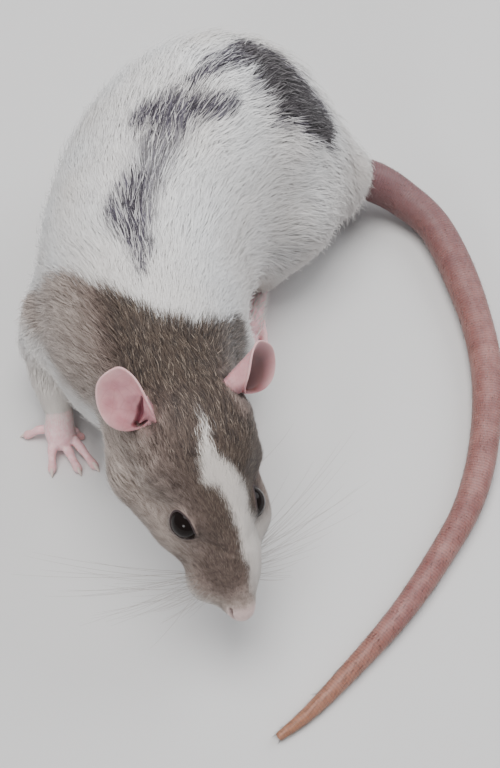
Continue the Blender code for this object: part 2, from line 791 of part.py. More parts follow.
def tail():
    """The tail as tapering lengths that meet end to end and lie on the floor."""
    rows = smooth_rows([(*place, radius) for place, radius in zip(TAIL, TAIL_RADII)], TAIL_STEPS)
    ways = np.gradient(rows[:, :3], axis=0)
    ways = ways / np.linalg.norm(ways, axis=1)[:, None]
    rings = sweep_rings(rows[:, :3], rows[:, 3], TAIL_SIDES)
    middle = rows[-1, :3] + ways[-1] * rows[-1, 3]
    tip = middle + TAIL_TIP_SCALE * (rings[-1] - rows[-1, :3])
    per_length = TAIL_STEPS // TAIL_LENGTHS
    for length in range(TAIL_LENGTHS):
        first = length * per_length
        last = first + per_length
        if length < TAIL_LENGTHS - 1:
            part = rings[first:last + 1].copy()
            part[-1] -= ways[last] * GAP / 2
        else:
            part = np.concatenate([rings[first:], tip[None]])
        part[0] += ways[first] * GAP / 2
        part[:, :, 2] = np.maximum(part[:, :, 2], 0.0)
        piece = closed_tube("tail", part)
        keep_largest(piece)
        finish_node(piece, f"tail_{length + 1}", TAIL_PINK, 0.55)


def hull_region(rows):
    """The hull of balls a little wider than a stretch of a leg."""
    work = bmesh.new()
    for row in rows:
        ball = bmesh.ops.create_icosphere(work, subdivisions=2, radius=row[3] + LEG_MARGIN)
        bmesh.ops.translate(work, verts=ball["verts"], vec=row[:3])
    bmesh.ops.delete(work, geom=list(work.faces) + list(work.edges), context="EDGES_FACES")
    hull = bmesh.ops.convex_hull(work, input=list(work.verts))
    bmesh.ops.delete(work, geom=hull["geom_interior"], context="VERTS")
    mesh = bpy.data.meshes.new("region")
    work.to_mesh(mesh)
    work.free()
    item = bpy.data.objects.new("region", mesh)
    bpy.context.scene.collection.objects.link(item)
    return item


def foreleg_region(name):
    """A closed region round one foreleg, from the shoulder to the wrist."""
    rows = LIMBS["arm_" + name]
    return unite("region", [hull_region(rows[:3]), hull_region(rows[2:])])


def hindleg_region(name):
    """A closed region round the haunch and the shank of one hind leg."""
    centre, radii, turn = THIGHS["thigh_" + name]
    wider = [radius + HAUNCH_MARGIN for radius in radii]
    haunch = ellipsoid("region", centre, wider, Matrix.Rotation(math.radians(turn), 3, "Z"), 16, 10)
    return unite("region", [haunch, hull_region(LIMBS["shank_" + name])])


def build():
    """Model the rat whole, part it into named nodes and centre it over the origin."""
    clear_scene()
    body = whole_body()
    shape_lids(body)
    thin_out(body)
    dock = half_space("dock", TAIL[0], Vector(TAIL[1]) - Vector(TAIL[0]), -GAP / 2, size=30.0)
    combine(body, "DIFFERENCE", dock)
    discard(dock)
    wider = grown(body, GAP, "wider_body")
    for name in EARS:
        ear(name, wider)
    forepaw("forepaw_right", (0.0, 0.0), wider)
    forepaw("forepaw_left", FOREPAW_LEFT_SHIFT, wider)
    for name in HINDPAWS:
        hindpaw(name, wider)
    discard(wider)
    tail()

    for name in ("left", "right"):
        foreleg = take_part(body, foreleg_region(name), "foreleg_" + name)
        finish_node(foreleg, "foreleg_" + name, WHITE_FUR)
        hindleg = take_part(body, hindleg_region(name), "hindleg_" + name)
        finish_node(hindleg, "hindleg_" + name, WHITE_FUR)
    for name, point, way in TRUNK_CUTS:
        piece = part_by_plane(body, name, point, way)
        if name == "head":
            cut_face(piece)
        finish_node(piece, name, HOOD_BROWN if name in ("head", "neck") else WHITE_FUR)
    finish_node(body, "rump", WHITE_FUR)
    eyeball("eye_left", 1)
    eyeball("eye_right", -1)
    centre_over_origin()


def centre_over_origin():
    """Scale the finished nodes to metres and set the middle of their box over the origin."""
    nodes = [item for item in bpy.data.objects if item.type == "MESH"]
    corners = np.array([vertex.co for item in nodes for vertex in item.data.vertices])
    low, high = corners.min(axis=0), corners.max(axis=0)
    shift = Vector((-(low[0] + high[0]) / 2, -(low[1] + high[1]) / 2, -low[2]))
    place = Matrix.Scale(MM, 4) @ Matrix.Translation(shift)
    for item in nodes:
        item.data.transform(place)
    print("shift from the frame of the pose in mm:", tuple(round(value, 3) for value in shift))


build()
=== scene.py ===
"""A young hooded pet rat at life size, with skin, coat, claws and whiskers set round its solids.

Shapes are worked out in millimetres in the frame of the pose, whose zero lies on the floor under the
shoulders. Each is moved to its place in metres when its mesh is made.
"""

import math

import bmesh
import bpy
import numpy as np
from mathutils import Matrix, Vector
from mathutils.bvhtree import BVHTree
from mathutils.kdtree import KDTree


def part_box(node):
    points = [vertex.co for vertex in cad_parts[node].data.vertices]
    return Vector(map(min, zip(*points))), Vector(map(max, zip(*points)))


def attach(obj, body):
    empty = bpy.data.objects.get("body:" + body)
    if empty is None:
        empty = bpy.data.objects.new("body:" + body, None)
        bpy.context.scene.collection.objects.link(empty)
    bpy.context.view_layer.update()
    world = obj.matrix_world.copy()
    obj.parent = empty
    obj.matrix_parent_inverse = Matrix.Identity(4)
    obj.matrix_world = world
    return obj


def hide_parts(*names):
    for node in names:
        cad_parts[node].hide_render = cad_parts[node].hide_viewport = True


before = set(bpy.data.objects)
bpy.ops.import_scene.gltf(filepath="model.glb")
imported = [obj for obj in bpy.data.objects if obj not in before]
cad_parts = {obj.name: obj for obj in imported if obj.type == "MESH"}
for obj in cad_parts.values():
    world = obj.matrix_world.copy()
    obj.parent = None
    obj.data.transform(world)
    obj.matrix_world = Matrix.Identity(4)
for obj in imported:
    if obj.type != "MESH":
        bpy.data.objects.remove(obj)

MM = 0.001
SEED = 7

# Head frame: zero at the nose tip, x forward, y to the rat's left, z up.
NOSE_TIP = np.array((-1.0, -59.1, 17.5))
HEAD_FORWARD = (0.35, -0.84, -0.43)
HEAD_UP = (0.48, -0.23, 0.85)

# Camera in the frame of the pose, and the distance of its picture in pixels of a frame 768 high.
CAMERA_PLACE = (0.0, -137.78, 220.49)
CAMERA_TILT = math.radians(32.0)
PICTURE_DISTANCE = 1196.0
PICTURE_HEIGHT = 768.0
SENSOR = 36.0

# How bright a white surface comes out in the picture, as a share of full white.
EXPOSURE = 0.90

BODY_NODES = (
    "head", "neck", "chest", "loin", "rump", "foreleg_left", "foreleg_right", "hindleg_left", "hindleg_right",
)
# Size of the skin's faces when the solids are fused, and how far the solids and the eyes grow before that.
SKIN_VOXEL = 0.5
NODE_GROWTH = 0.22
SOCKET_FILL = 0.4
# Rounds of smoothing on the body, on the whole skin and on the cheeks when they have been filled out.
BODY_SMOOTHING = 110
FACE_SMOOTHING = 14
FILL_SMOOTHING = 14
# Share of the skin's triangles kept, taken from behind this place in the head frame.
SKIN_KEPT = 0.5
THINNED_BEHIND = -42.0

# Middle line of the body with its radius, from the nose to the dock. The first places are in the head frame.
HEAD_LINE = ((0.0, 0.0, -0.5, 2.0), (-12.0, 0.0, 0.5, 7.0), (-25.0, 0.0, 1.0, 11.5), (-36.0, 0.0, 1.0, 13.0))
TRUNK_LINE = (
    (-14.0, -27.0, 31.0, 13.0), (-16.0, -20.0, 28.5, 16.0), (-19.0, -11.0, 25.0, 19.0),
    (-21.0, 0.0, 22.5, 21.0), (-21.5, 12.0, 22.0, 23.0), (-19.0, 25.0, 22.0, 24.0),
    (-13.5, 38.5, 22.0, 25.0), (-3.5, 45.5, 21.5, 24.0), (7.0, 47.5, 20.0, 21.5),
    (15.5, 48.5, 17.0, 16.0), (22.0, 49.8, 12.5, 10.0), (29.0, 50.2, 8.8, 5.2),
)
LIMBS = (
    ((-35, 1, 22, 12.5), (-39, 3, 16, 10), (-41, 0, 11, 7), (-40.5, -6, 8, 5), (-39.8, -11, 5.2, 3.3)),
    ((-10, -8, 21, 10), (-6, -3, 15, 8.5), (-6, -4, 10, 7), (-7, -8, 7.5, 5), (-7.6, -13.3, 5.2, 3.3)),
    ((-20, 50, 14, 8), (-14, 56, 9, 6.5), (-6, 60, 5.5, 4.8), (0, 62, 4.2, 3.4)),
    ((0.5, 22, 12, 8), (2.5, 28, 8, 6.5), (4, 34, 5.5, 4.8), (4.5, 38, 4.2, 3.4)),
)

# Coat on the head, at places in the head frame on the left, which hold on both sides: length and width of a
# lock, depth of the coat over the skin, and locks to the square millimetre.
HEAD_COAT = (
    ((-3.0, 0.0, 3.2), 0.85, 0.10, 0.22, 30),
    ((-6.0, 4.0, 0.5), 1.0, 0.10, 0.26, 28),
    ((-8.0, 0.0, -8.0), 1.2, 0.11, 0.30, 18),
    ((-12.0, 0.0, 8.0), 1.4, 0.12, 0.36, 25),
    ((-13.0, 6.5, 1.0), 1.6, 0.12, 0.42, 23),
    ((-19.0, 8.5, 7.0), 1.4, 0.10, 0.38, 30),
    ((-20.0, 9.0, 1.0), 1.4, 0.10, 0.38, 28),
    ((-20.0, 8.0, -4.0), 2.0, 0.13, 0.60, 17),
    ((-20.0, 0.0, 11.0), 1.9, 0.13, 0.55, 22),
    ((-26.0, 0.0, 13.6), 2.2, 0.13, 0.75, 21),
    ((-27.0, 10.0, 8.0), 2.2, 0.14, 0.70, 18),
    ((-30.0, 13.0, -3.0), 3.4, 0.16, 1.4, 13),
    ((-25.0, 0.0, -12.5), 3.2, 0.17, 1.1, 9),
    ((-36.0, 0.0, 15.0), 3.0, 0.14, 1.1, 18),
    ((-36.0, 12.0, 8.0), 2.4, 0.15, 0.8, 15),
)
# Coat on the rest of the body, at places in the frame of the pose.
BODY_COAT = (
    ((-14.0, -27.0, 44.0), 3.0, 0.12, 1.4, 19),
    ((-18.0, -15.0, 46.0), 3.6, 0.13, 1.8, 17),
    ((-37.0, -10.0, 28.0), 4.4, 0.15, 1.9, 12.0),
    ((-1.0, -8.0, 26.0), 5.0, 0.21, 1.9, 7.0),
    ((-42.0, 4.0, 22.0), 6.0, 0.24, 2.2, 5.5),
    ((-21.0, 6.0, 49.0), 6.6, 0.26, 2.5, 5.5),
    ((-18.0, 28.0, 52.0), 7.4, 0.28, 2.7, 5.0),
    ((-43.0, 22.0, 24.0), 8.0, 0.29, 2.6, 4.2),
    ((1.0, 15.0, 26.0), 7.6, 0.28, 2.5, 4.6),
    ((20.0, 36.0, 22.0), 8.2, 0.28, 2.7, 4.8),
    ((2.0, 46.0, 51.0), 7.6, 0.28, 2.7, 5.0),
    ((-20.0, 66.0, 20.0), 8.4, 0.30, 2.6, 3.8),
    ((10.0, 68.0, 24.0), 8.4, 0.30, 2.6, 4.2),
    ((24.0, 56.0, 14.0), 6.0, 0.24, 1.7, 5.5),
    ((30.0, 50.0, 9.0), 2.6, 0.15, 0.5, 9.0),
    ((-18.0, 12.0, 5.0), 6.0, 0.30, 1.8, 2.2),
    ((-41.0, -1.0, 11.0), 3.6, 0.18, 1.1, 8.0),
    ((-40.5, -6.0, 8.0), 2.2, 0.14, 0.5, 13.0),
    ((-39.8, -11.0, 5.2), 1.3, 0.11, 0.25, 18.0),
    ((-6.0, -4.0, 10.0), 3.6, 0.18, 1.1, 6.0),
    ((-7.0, -8.0, 7.5), 2.2, 0.14, 0.5, 9.0),
    ((-7.6, -13.3, 5.2), 1.3, 0.11, 0.25, 14.0),
    ((2.5, 28.0, 7.0), 3.6, 0.18, 1.0, 6.5),
    ((4.5, 38.0, 4.2), 1.5, 0.12, 0.25, 12.0),
    ((-14.0, 58.0, 7.0), 3.6, 0.18, 1.0, 5.0),
    ((0.0, 62.5, 4.2), 1.5, 0.12, 0.25, 9.0),
)
# Rings of a lock: place from root to tip and share of its width.
ONE_RING = ((0.0, 1.0),)
TWO_RINGS = ((0.0, 0.8), (0.5, 1.0))
# Kinds of lock by their length: least and most length, how many, and their rings.
LOCK_KINDS = {
    "fine": (0.0, 2.2, 92000, ONE_RING),
    "short": (2.2, 4.6, 44000, TWO_RINGS),
    "long": (4.6, 20.0, 67000, TWO_RINGS),
}
LOCK_PIECES = {
    "fine": ("coat_snout", "coat_face"),
    "short": ("coat_cheeks", "coat_brow", "coat_crown"),
    "long": (
        "coat_hood", "coat_shoulders", "coat_chest", "coat_back", "coat_flanks", "coat_haunches", "coat_rump",
    ),
}
BROWN_PIECES = ("coat_snout", "coat_face", "coat_cheeks", "coat_brow", "coat_crown", "coat_hood")
LOCKS_TO_TUFT = 8
# Locks on the limbs lie below this height.
LIMBS_BELOW = 17.0
# Roots start this far under the skin, where the coat is long.
ROOT_SINK = 0.35
# Hair stays this far above the floor.
LEAST_HEIGHT = 0.25
# How far the colours of neighbouring hairs mix across the edge of a marking.
MIXING = 0.45
# Share of the locks that stand out of the coat, and how far, as shares of their length.
PROUD_SHARE = 0.12
PROUD_LIFT = (0.05, 0.25)
# How far the light on a lock follows the skin under it, so that the coat looks soft.
SOFTNESS = 0.80
# Size of a lock's patch in the unwrap.
PATCH = 0.003

# Places ahead of the first of these in the head frame belong to the head, and behind the second to the body.
BODY_STARTS = (-38.0, -46.0)
# The brown hood ends behind at this y on the middle of the back. Its edge runs back from there: on the right
# by how far a place is beside the back and by that squared, on the left by how far it is below the top. It
# reaches no farther back than the last pair, on the left and on the right.
HOOD_EDGE = -12.9
HOOD_RIGHT_SIDE = -16.0
HOOD_EDGE_RIGHT = (0.50, 0.008)
HOOD_LEFT_SIDE = -15.0
HOOD_TOP = 45.0
HOOD_EDGE_LEFT = 0.64
HOOD_FARTHEST = (-2.0, 4.5)

# White blaze in the head frame: x, middle and half width.
BLAZE = (
    (-37.0, -2.4, 0.20), (-34.0, -2.4, 0.40), (-31.0, -3.1, 0.95), (-28.5, -3.5, 1.6),
    (-26.5, -3.0, 2.3), (-24.2, -2.0, 2.9), (-22.6, -0.5, 2.4), (-20.0, 0.5, 2.6), (-16.0, 1.2, 2.5),
    (-13.0, 1.6, 2.3), (-10.0, 2.3, 2.1), (-6.0, 2.5, 1.8), (-3.0, 2.2, 1.2),
)
# Grey marks on the back: points with the half width of the mark, then how dark it is.
STRIPES = (
    ((
        (-20.0, -3.6, 47.5, 1.9), (-20.6, -0.6, 47.7, 2.2),
    ), 0.8),
    ((
        (-20.4, 2.2, 48.0, 3.4), (-21.6, 5.4, 48.8, 4.9), (-22.4, 8.8, 49.5, 5.6),
        (-22.1, 12.2, 50.2, 5.0), (-21.5, 15.2, 50.7, 3.5),
    ), 0.95),
    ((
        (-20.6, 14.0, 50.6, 4.6), (-18.6, 18.6, 51.1, 5.2), (-16.8, 22.8, 51.4, 5.4),
        (-15.6, 27.0, 51.9, 5.0),
    ), 0.74),
    ((
        (-21.8, 28.8, 51.9, 2.8), (-19.4, 30.4, 52.3, 3.9), (-15.8, 30.8, 52.3, 5.5),
        (-12.5, 31.6, 52.2, 5.8), (-9.6, 32.6, 51.9, 5.3), (-6.7, 33.6, 50.9, 4.2),
        (-3.2, 35.4, 50.6, 2.8),
    ), 0.86),
    ((
        (-11.6, 38.0, 53.2, 1.6), (-8.6, 40.9, 53.1, 2.2), (-5.5, 43.4, 52.9, 2.8),
        (-2.4, 46.0, 51.9, 3.8),
    ), 0.9),
    # The last mark, on the rump, is partly a grey marking and partly painted shadow.
    ((
        (1.4, 49.6, 49.5, 5.6), (4.8, 47.4, 47.2, 7.3), (7.4, 44.6, 45.4, 8.5), (10.4, 43.4, 42.3, 8.5),
        (13.6, 43.2, 38.6, 7.3), (16.4, 43.0, 34.6, 6.0), (18.0, 42.6, 31.2, 3.8),
    ), 1.3),
)

# Eyes in the head frame: centre of the solid, then the centre and the facing of the eyeball that is drawn, on
# the left (1) and on the right (-1).
EYE_CENTRE = (-19.0, 6.1, 4.2)
EYE_DRAWN = {1: (-18.2, 5.8, 4.5), -1: (-18.9, 6.3, 4.0)}
EYE_FACING = {1: (0.22, 0.63, 0.74), -1: (0.24, 0.90, 0.35)}
EYE_RADIUS = 3.2
LID_WAY = (1.0, 0.0, 0.16)
LID_HALF_LENGTH = 2.74
LID_HALF_HEIGHT = 2.06
# How far the opening reaches in front and behind, as a share of its half length, and how round it is there.
LID_CORNERS = (1.20, 0.98)
LID_ROUNDNESS = (1.45, 2.0)
# Distance beyond the edge of the lids and height of the skin over the eyeball there.
LID_HEIGHTS = (
    (-0.30, -0.40), (-0.12, -0.30), (0.0, 0.04), (0.22, 0.16),
    (0.6, 0.18), (1.0, 0.14), (1.45, 0.08), (2.1, 0.05),
)
# How much thicker the upper lid is, and how far from an eye the lids end.
UPPER_LID = 0.03
LID_REACH = 9.0
# Each pair divides the triangles within a distance of an eye and ahead of a place on the snout. What lies
# ahead of the last place is smoothed each time.
FINE_FACE = ((6.4, -14.0), (4.9, -9.5))
FINE_SMOOTHING = -24.0
# The head fills out here, where smoothing draws it in: middle in the head frame, reach and depth.
BULGES = (
    ((-18.5, 8.0, -2.5), 8.5, 2.2),
    ((-18.5, -8.0, -2.5), 8.5, 2.4),
    ((-15.5, 8.5, 1.5), 8.5, 4.3),
    ((-23.5, 8.0, 3.0), 7.0, 2.0),
    ((-30.0, -11.5, -5.0), 8.5, 1.5),
    ((-7.0, 4.5, 1.0), 5.0, 0.7),
    ((-8.0, -5.5, -2.5), 5.5, 1.0),
    ((-0.2, 0.0, -0.6), 4.6, 1.1),
)
# The hair is shorter and pinker along these lines, in front of each ear and beside it, on the left (1) and on
# the right (-1).
EAR_BASES = {
    1: ((-34.6, 10.6, 9.8), (-34.9, 7.0, 13.0), (-37.6, 6.2, 13.3), (-40.5, 7.2, 12.6)),
    -1: ((-34.9, -12.2, 8.0), (-36.0, -10.4, 11.0), (-38.6, -8.6, 12.8), (-41.0, -8.2, 13.4)),
}

MOUTH_LINE = (
    (-1.9, 0.0, -4.4), (-3.0, 0.5, -5.9), (-5.0, 2.3, -6.6), (-8.0, 4.4, -6.5), (-11.0, 5.6, -5.6),
)
PHILTRUM = ((0.1, 0.0, -0.3), (-0.5, 0.0, -1.8), (-1.2, 0.0, -2.8), (-1.9, 0.0, -4.4))
NOSTRIL_LINE = ((-0.5, 0.75, -0.75), (-0.8, 1.35, -0.45), (-1.7, 2.0, 0.25))
# Grooves in the face: line, half width, depth, painted shade and sides.
FACE_GROOVES = (
    (MOUTH_LINE, 0.62, 0.62, 1.0, (1, -1)),
    (PHILTRUM, 0.42, 0.40, 0.6, (1,)),
    (NOSTRIL_LINE, 0.50, 0.85, 1.0, (1, -1)),
)
# Middle and half lengths of the bare pad of the nose.
NOSE_PAD = ((0.2, 0.0, -0.2), (3.0, 3.1, 2.4))

# Each ear in the head frame: middle of its rim, way its cup opens and place of its canal. Then how far the
# rim is turned in its own plane, and half its length, half its outer and half its inner width.
EARS = {
    "ear_right": ((-40.9, -13.6, 12.3), (0.30, -0.70, 0.65), (-37.3, -11.0, 9.8)),
    "ear_left": ((-39.7, 12.1, 13.9), (0.46, 0.31, 0.83), (-36.8, 10.6, 9.7)),
}
EAR_SIZES = {"ear_right": (0.0, 6.0, 5.15, 3.3), "ear_left": (13.0, 4.7, 4.75, 3.9)}
# How far each rim is lowered at its foot, and how far its inner side spreads where it meets the head.
EAR_NOTCHES = {"ear_right": 4.3, "ear_left": 1.7}
EAR_SKIRTS = {"ear_right": 2.4, "ear_left": 8.4}
# How far the cup is hollowed towards its canal.
EAR_BELLY = 1.5
# Heights in the cup: the lobe beside the canal, the fold above it, the slit and the dip beside the rim.
EAR_LOBE = 0.7
EAR_FOLD = 0.35
EAR_SLIT_DEPTH = 1.3
EAR_DIP = 0.25
# The slit into each ear in the ear's own axes: along its length, towards its inner side, and half its width.
EAR_SLIT = (
    (-0.3, 2.0, 0.0, 0.14), (-1.4, 1.15, 0.0, 0.32), (-2.3, 0.38, 0.0, 0.52), (-3.3, -0.26, 0.0, 0.46),
    (-4.15, -1.1, 0.0, 0.44), (-4.8, -1.95, 0.0, 0.42), (-5.2, -1.9, 0.0, 0.36),
    (-5.3, -1.1, 0.0, 0.26), (-5.05, 0.0, 0.0, 0.14),
)
# Power of the rim's outline, round at one and squarer below it.
EAR_SQUARENESS = 0.86
# Painted shade: how much darker the inside of each ear is drawn, as the left ear's cup is turned from the
# light.
EAR_PAINTED_SHADES = {"ear_right": 0.0, "ear_left": 1.1}
# Thickness of an ear at its rim, and how much it grows towards the canal.
EAR_WALL = 0.42
EAR_THICKENING = 1.15
# How far the rolled rim stands out and drops behind, at turns from its inside to its back.
RIM_SPREAD = 0.25
RIM_DROP = 0.23
RIM_TURNS = (30.0, 75.0, 120.0, 165.0)
# How far the neck of an ear runs down into the head.
NECK_DEPTH = 5.5
# Size and depth of the bed of an ear in the skin, and how far the skin rises over the foot of the rim.
BED_REACH = (8.0, 7.0, 8.0)
BED_DEPTH = 1.1
FOOT_COVER = 1.6
# Hair is left out under an ear's surface, this close below it and this near its middle.
COVER_REACH = 2.2
EAR_REACH = 12.0
# Where the cup starts, as a share of the way from the middle of its canal to the rim.
CANAL_SHARE = 0.02
EAR_ANGLES = 144
EAR_RINGS = 46

# Paws: the line of the palm with its radius, and the root and tip of each digit on the floor. Then the heel
# and the ball of each hind foot, and the line of the sole as share of its length, height and radius.
FOREPAW_RIGHT = {
    "palm": ((-39.8, -9.4, 5.6, 2.7), (-39.8, -13.2, 3.6, 3.1), (-39.6, -14.8, 2.7, 2.9)),
    "digits": (
        ((-42.2, -12.6), (-47.2, -13.2)),
        ((-41.2, -15.2), (-41.0, -21.6)),
        ((-39.0, -15.8), (-35.6, -21.4)),
        ((-37.4, -14.6), (-32.2, -20.6)),
    ),
    "thumb": ((-37.6, -12.4), (-35.4, -13.6)),
}
FOREPAW_LEFT_SHIFT = (32.2, -2.4)
HINDPAWS = {
    "hindpaw_left": ((4.6, 38.5), (-0.4, 13.5)),
    "hindpaw_right": ((0.0, 62.5), (-22.5, 53.0)),
}
SOLE = ((0.0, 3.2, 2.6), (0.35, 2.7, 2.35), (0.75, 2.5, 2.7), (1.0, 2.3, 2.8))
HIND_DIGIT_LENGTHS = (6.0, 8.6, 9.2, 8.8, 6.4)
HIND_DIGIT_SPREAD = math.radians(11.0)
HIND_KNUCKLE_SPACING = 1.25
HIND_SIDE_SETBACK = 1.6
# A digit from its knuckle to its tip: share of its length, lift and share of its radius.
DIGIT_SHAPE = (
    (0.0, 0.0, 1.10), (0.22, 0.35, 0.92), (0.42, 0.62, 0.98), (0.60, 0.38, 0.80), (0.78, 0.05, 0.82),
    (0.92, -0.05, 0.98), (1.0, -0.05, 0.80),
)
PAW_VOXELS = {"fore": 0.2, "hind": 0.26}
PAW_HAIRS = 6500

# Middle line of the tail with its radius.
TAIL = (
    (21.5, 50.6, 10.8, 4.2), (28.2, 50.3, 9.0, 4.7), (35.6, 47.6, 6.0, 4.4), (43.4, 39.1, 4.3, 4.0),
    (49.1, 19.6, 3.7, 3.75), (51.0, 1.1, 3.4, 3.45), (48.7, -16.2, 3.1, 3.2), (44.3, -30.0, 2.8, 2.9),
    (37.2, -42.0, 2.5, 2.6), (28.6, -53.8, 2.1, 2.2), (18.6, -64.7, 1.7, 1.8), (11.0, -72.2, 1.3, 1.35),
    (5.1, -76.8, 1.0, 0.8),
)
# Length of a ring of scales, and its own rings of points.
TAIL_RING_PITCH = 0.62
TAIL_RINGS_PER_SCALE = 3
TAIL_SIDES = 44
TAIL_HAIRS_TO_RING = 12
TAIL_HAIR_WIDTH = 0.044
TAIL_HAIR_RINGS = ((0.0, 1.0), (0.5, 0.8))
TAIL_HAIR_MARKS = (0.25, 0.15, 0.4, 0.5)

# Heights of the rows of whiskers in the head frame, and the whisker over the left eye: place from the nose,
# height and length, and how far it points up and back.
WHISKER_HEIGHTS = (-0.3, -1.4, -2.5, -3.6, -4.7)
WHISKERS_TO_ROW = 8
BROW_WHISKER = (-23.5, 7.4, 11.0, 0.5, 1.0)

# Lights: place and size in metres, power in watts and colour.
LIGHTS = {
    "key": ((-0.06, 0.08, 0.68), 0.50, 5.0, (1.0, 0.985, 0.97)),
    "front": ((-0.27, -0.54, 0.30), 0.17, 1.15, (1.0, 0.99, 0.98)),
    "back": ((0.48, 0.30, 0.40), 0.50, 2.2, (0.97, 0.98, 1.0)),
}
# The place in metres that the lights face.
LIT_PLACE = (0.0, 0.0, 0.02)
SURROUND = (0.93, 0.95, 1.0, 1.0)
SURROUND_STRENGTH = 0.43
FLOOR_HALF = 4.0
FLOOR_COLOURS = ((0.66, 0.655, 0.65, 1.0), (0.69, 0.685, 0.68, 1.0))


# Numbers and places

def lengths_of(vectors):
    """The length of each vector."""
    return np.linalg.norm(vectors, axis=-1)


def unit(vectors):
    """Vectors of the same way with a length of one."""
    vectors = np.asarray(vectors, dtype=float)
    return vectors / np.maximum(np.linalg.norm(vectors, axis=-1, keepdims=True), 1e-9)


FORWARD = unit(HEAD_FORWARD)
LEFT = unit(np.cross(HEAD_UP, FORWARD))
HEAD_TURN = np.column_stack((FORWARD, LEFT, np.cross(FORWARD, LEFT)))


def from_head(places):
    """Turn places in the head frame into places in the pose."""
    return NOSE_TIP + np.asarray(places, dtype=float) @ HEAD_TURN.T


def to_head(places):
    """Turn places in the pose into places in the head frame."""
    return (places - NOSE_TIP) @ HEAD_TURN


def mirrored(places, side):
    """Places of the head's left side, on the left (1) or on the right (-1)."""
    return np.asarray(places, dtype=float) * (1, side, 1)


def frame_shift():
    """How far the frame's middle lies from the zero of the pose, from the middle of the right eye."""
    low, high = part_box("eye_right")
    middle = (np.array(low) + np.array(high)) / (2 * MM)
    return middle - from_head(mirrored(EYE_CENTRE, -1))


SHIFT = frame_shift()
BODY_LINE = np.array([(*from_head(row[:3]), row[3]) for row in HEAD_LINE] + list(TRUNK_LINE))


def rise(low, high, values):
    """A smooth step from 0 at the low value to 1 at the high value."""
    share = np.clip((values - low) / (high - low), 0.0, 1.0)
    return share * share * (3 - 2 * share)


def mixed(first, second, share):
    """The first values where the share is 0, and the second where it is 1."""
    return first * (1 - share) + second * share


def turns(count):
    """Angles evenly spaced round a full turn."""
    return np.linspace(0.0, 2 * math.pi, count, endpoint=False)


def noise(points, size, seed):
    """Smooth noise from -1 to 1 with spots of a size, the same each time for the same seed."""
    scaled = points / size
    cell = np.floor(scaled).astype(np.int64)
    inside = rise(0.0, 1.0, scaled - cell)
    total = np.zeros(len(points))
    for corner in range(8):
        step = np.array((corner & 1, corner >> 1 & 1, corner >> 2 & 1))
        key = (cell + step) @ np.array((374761393, 668265263, 1103515245)) + seed * 974634777
        key = (key ^ (key >> 13)) * 1274126177 & 0xFFFFFFFF
        key = (key ^ (key >> 16)) & 0xFFFF
        total += np.prod(np.where(step, inside, 1.0 - inside), axis=1) * key
    return total / 32767.5 - 1.0


def lengths_along(rows):
    """How far along a line each of its points lies."""
    steps = lengths_of(np.diff(rows[:, :3], axis=0))
    return np.concatenate([[0.0], np.cumsum(steps)])


def near_line(points, rows):
    """For each point, how near a line passes: distance, way, the line's last value and the place along it."""
    rows = np.asarray(rows, dtype=float)
    starts = lengths_along(rows)
    distance = np.full(len(points), np.inf)
    way = np.zeros((len(points), 3))
    value = np.zeros(len(points))
    along = np.zeros(len(points))
    for index, step in enumerate(rows[1:, :3] - rows[:-1, :3]):
        length = np.linalg.norm(step)
        if length < 1e-6:
            continue
        part = np.clip((points - rows[index, :3]) @ step / length ** 2, 0.0, 1.0)
        gap = lengths_of(points - rows[index, :3] - part[:, None] * step)
        nearer = gap < distance
        distance = np.where(nearer, gap, distance)
        way[nearer] = step / length
        value = np.where(nearer, mixed(rows[index, -1], rows[index + 1, -1], part), value)
        along = np.where(nearer, starts[index] + part * length, along)
    return distance, way, value, along


def smooth_rows(rows, steps):
    """Read a smooth curve through rows of numbers at evenly spaced steps."""
    rows = np.array(rows, dtype=float)
    padded = np.vstack([2 * rows[0] - rows[1], rows, 2 * rows[-1] - rows[-2]])
    curve = []
    for place in np.linspace(0.0, len(rows) - 1.0, steps):
        index = min(int(place), len(rows) - 2)
        part = place - index
        before, start, end, after = padded[index:index + 4]
        bend = 2 * before - 5 * start + 4 * end - after
        twist = 3 * start - before - 3 * end + after
        curve.append(0.5 * (2 * start + (end - before) * part + bend * part ** 2 + twist * part ** 3))
    return np.array(curve)


# Meshes

def corners_of(points, triangles):
    """The first, second and third corners of triangles."""
    return (points[triangles[:, corner]] for corner in range(3))


def facing_out(points, triangles):
    """The triangles of a closed mesh, turned so that they face outwards."""
    first, second, third = corners_of(points - points[0], triangles)
    volume = np.einsum("ij,ij->", first, np.cross(second, third))
    return triangles if volume > 0 else triangles[:, ::-1]


def corner_normals(points, triangles):
    """The normal at each point of a mesh of triangles."""
    first, second, third = corners_of(points, triangles)
    flat = np.cross(second - first, third - first)
    normals = np.zeros_like(points)
    for corner in range(3):
        for axis in range(3):
            normals[:, axis] += np.bincount(triangles[:, corner], flat[:, axis], len(points))
    return unit(normals)


def edges_of(triangles):
    """Each edge of a mesh of triangles once."""
    pairs = np.vstack([triangles[:, (0, 1)], triangles[:, (1, 2)], triangles[:, (2, 0)]])
    count = int(triangles.max()) + 1
    keys = np.unique(pairs.min(axis=1) * count + pairs.max(axis=1))
    return np.column_stack((keys // count, keys % count))


def smoothed(points, triangles, share, rounds):
    """Move each point towards the middle of its neighbours, as far as its share says."""
    first, second = edges_of(triangles).T
    count = np.bincount(first, minlength=len(points)) + np.bincount(second, minlength=len(points))
    share = np.broadcast_to(share, len(points))[:, None] * 0.5
    for _ in range(rounds):
        total = np.empty_like(points)
        for axis in range(3):
            total[:, axis] = np.bincount(first, points[second, axis], len(points))
            total[:, axis] += np.bincount(second, points[first, axis], len(points))
        points = points + share * (total / count[:, None] - points)
    return points


def add_item(name, data):
    """Put an object with its data in the scene."""
    item = bpy.data.objects.new(name, data)
    bpy.context.scene.collection.objects.link(item)
    return item


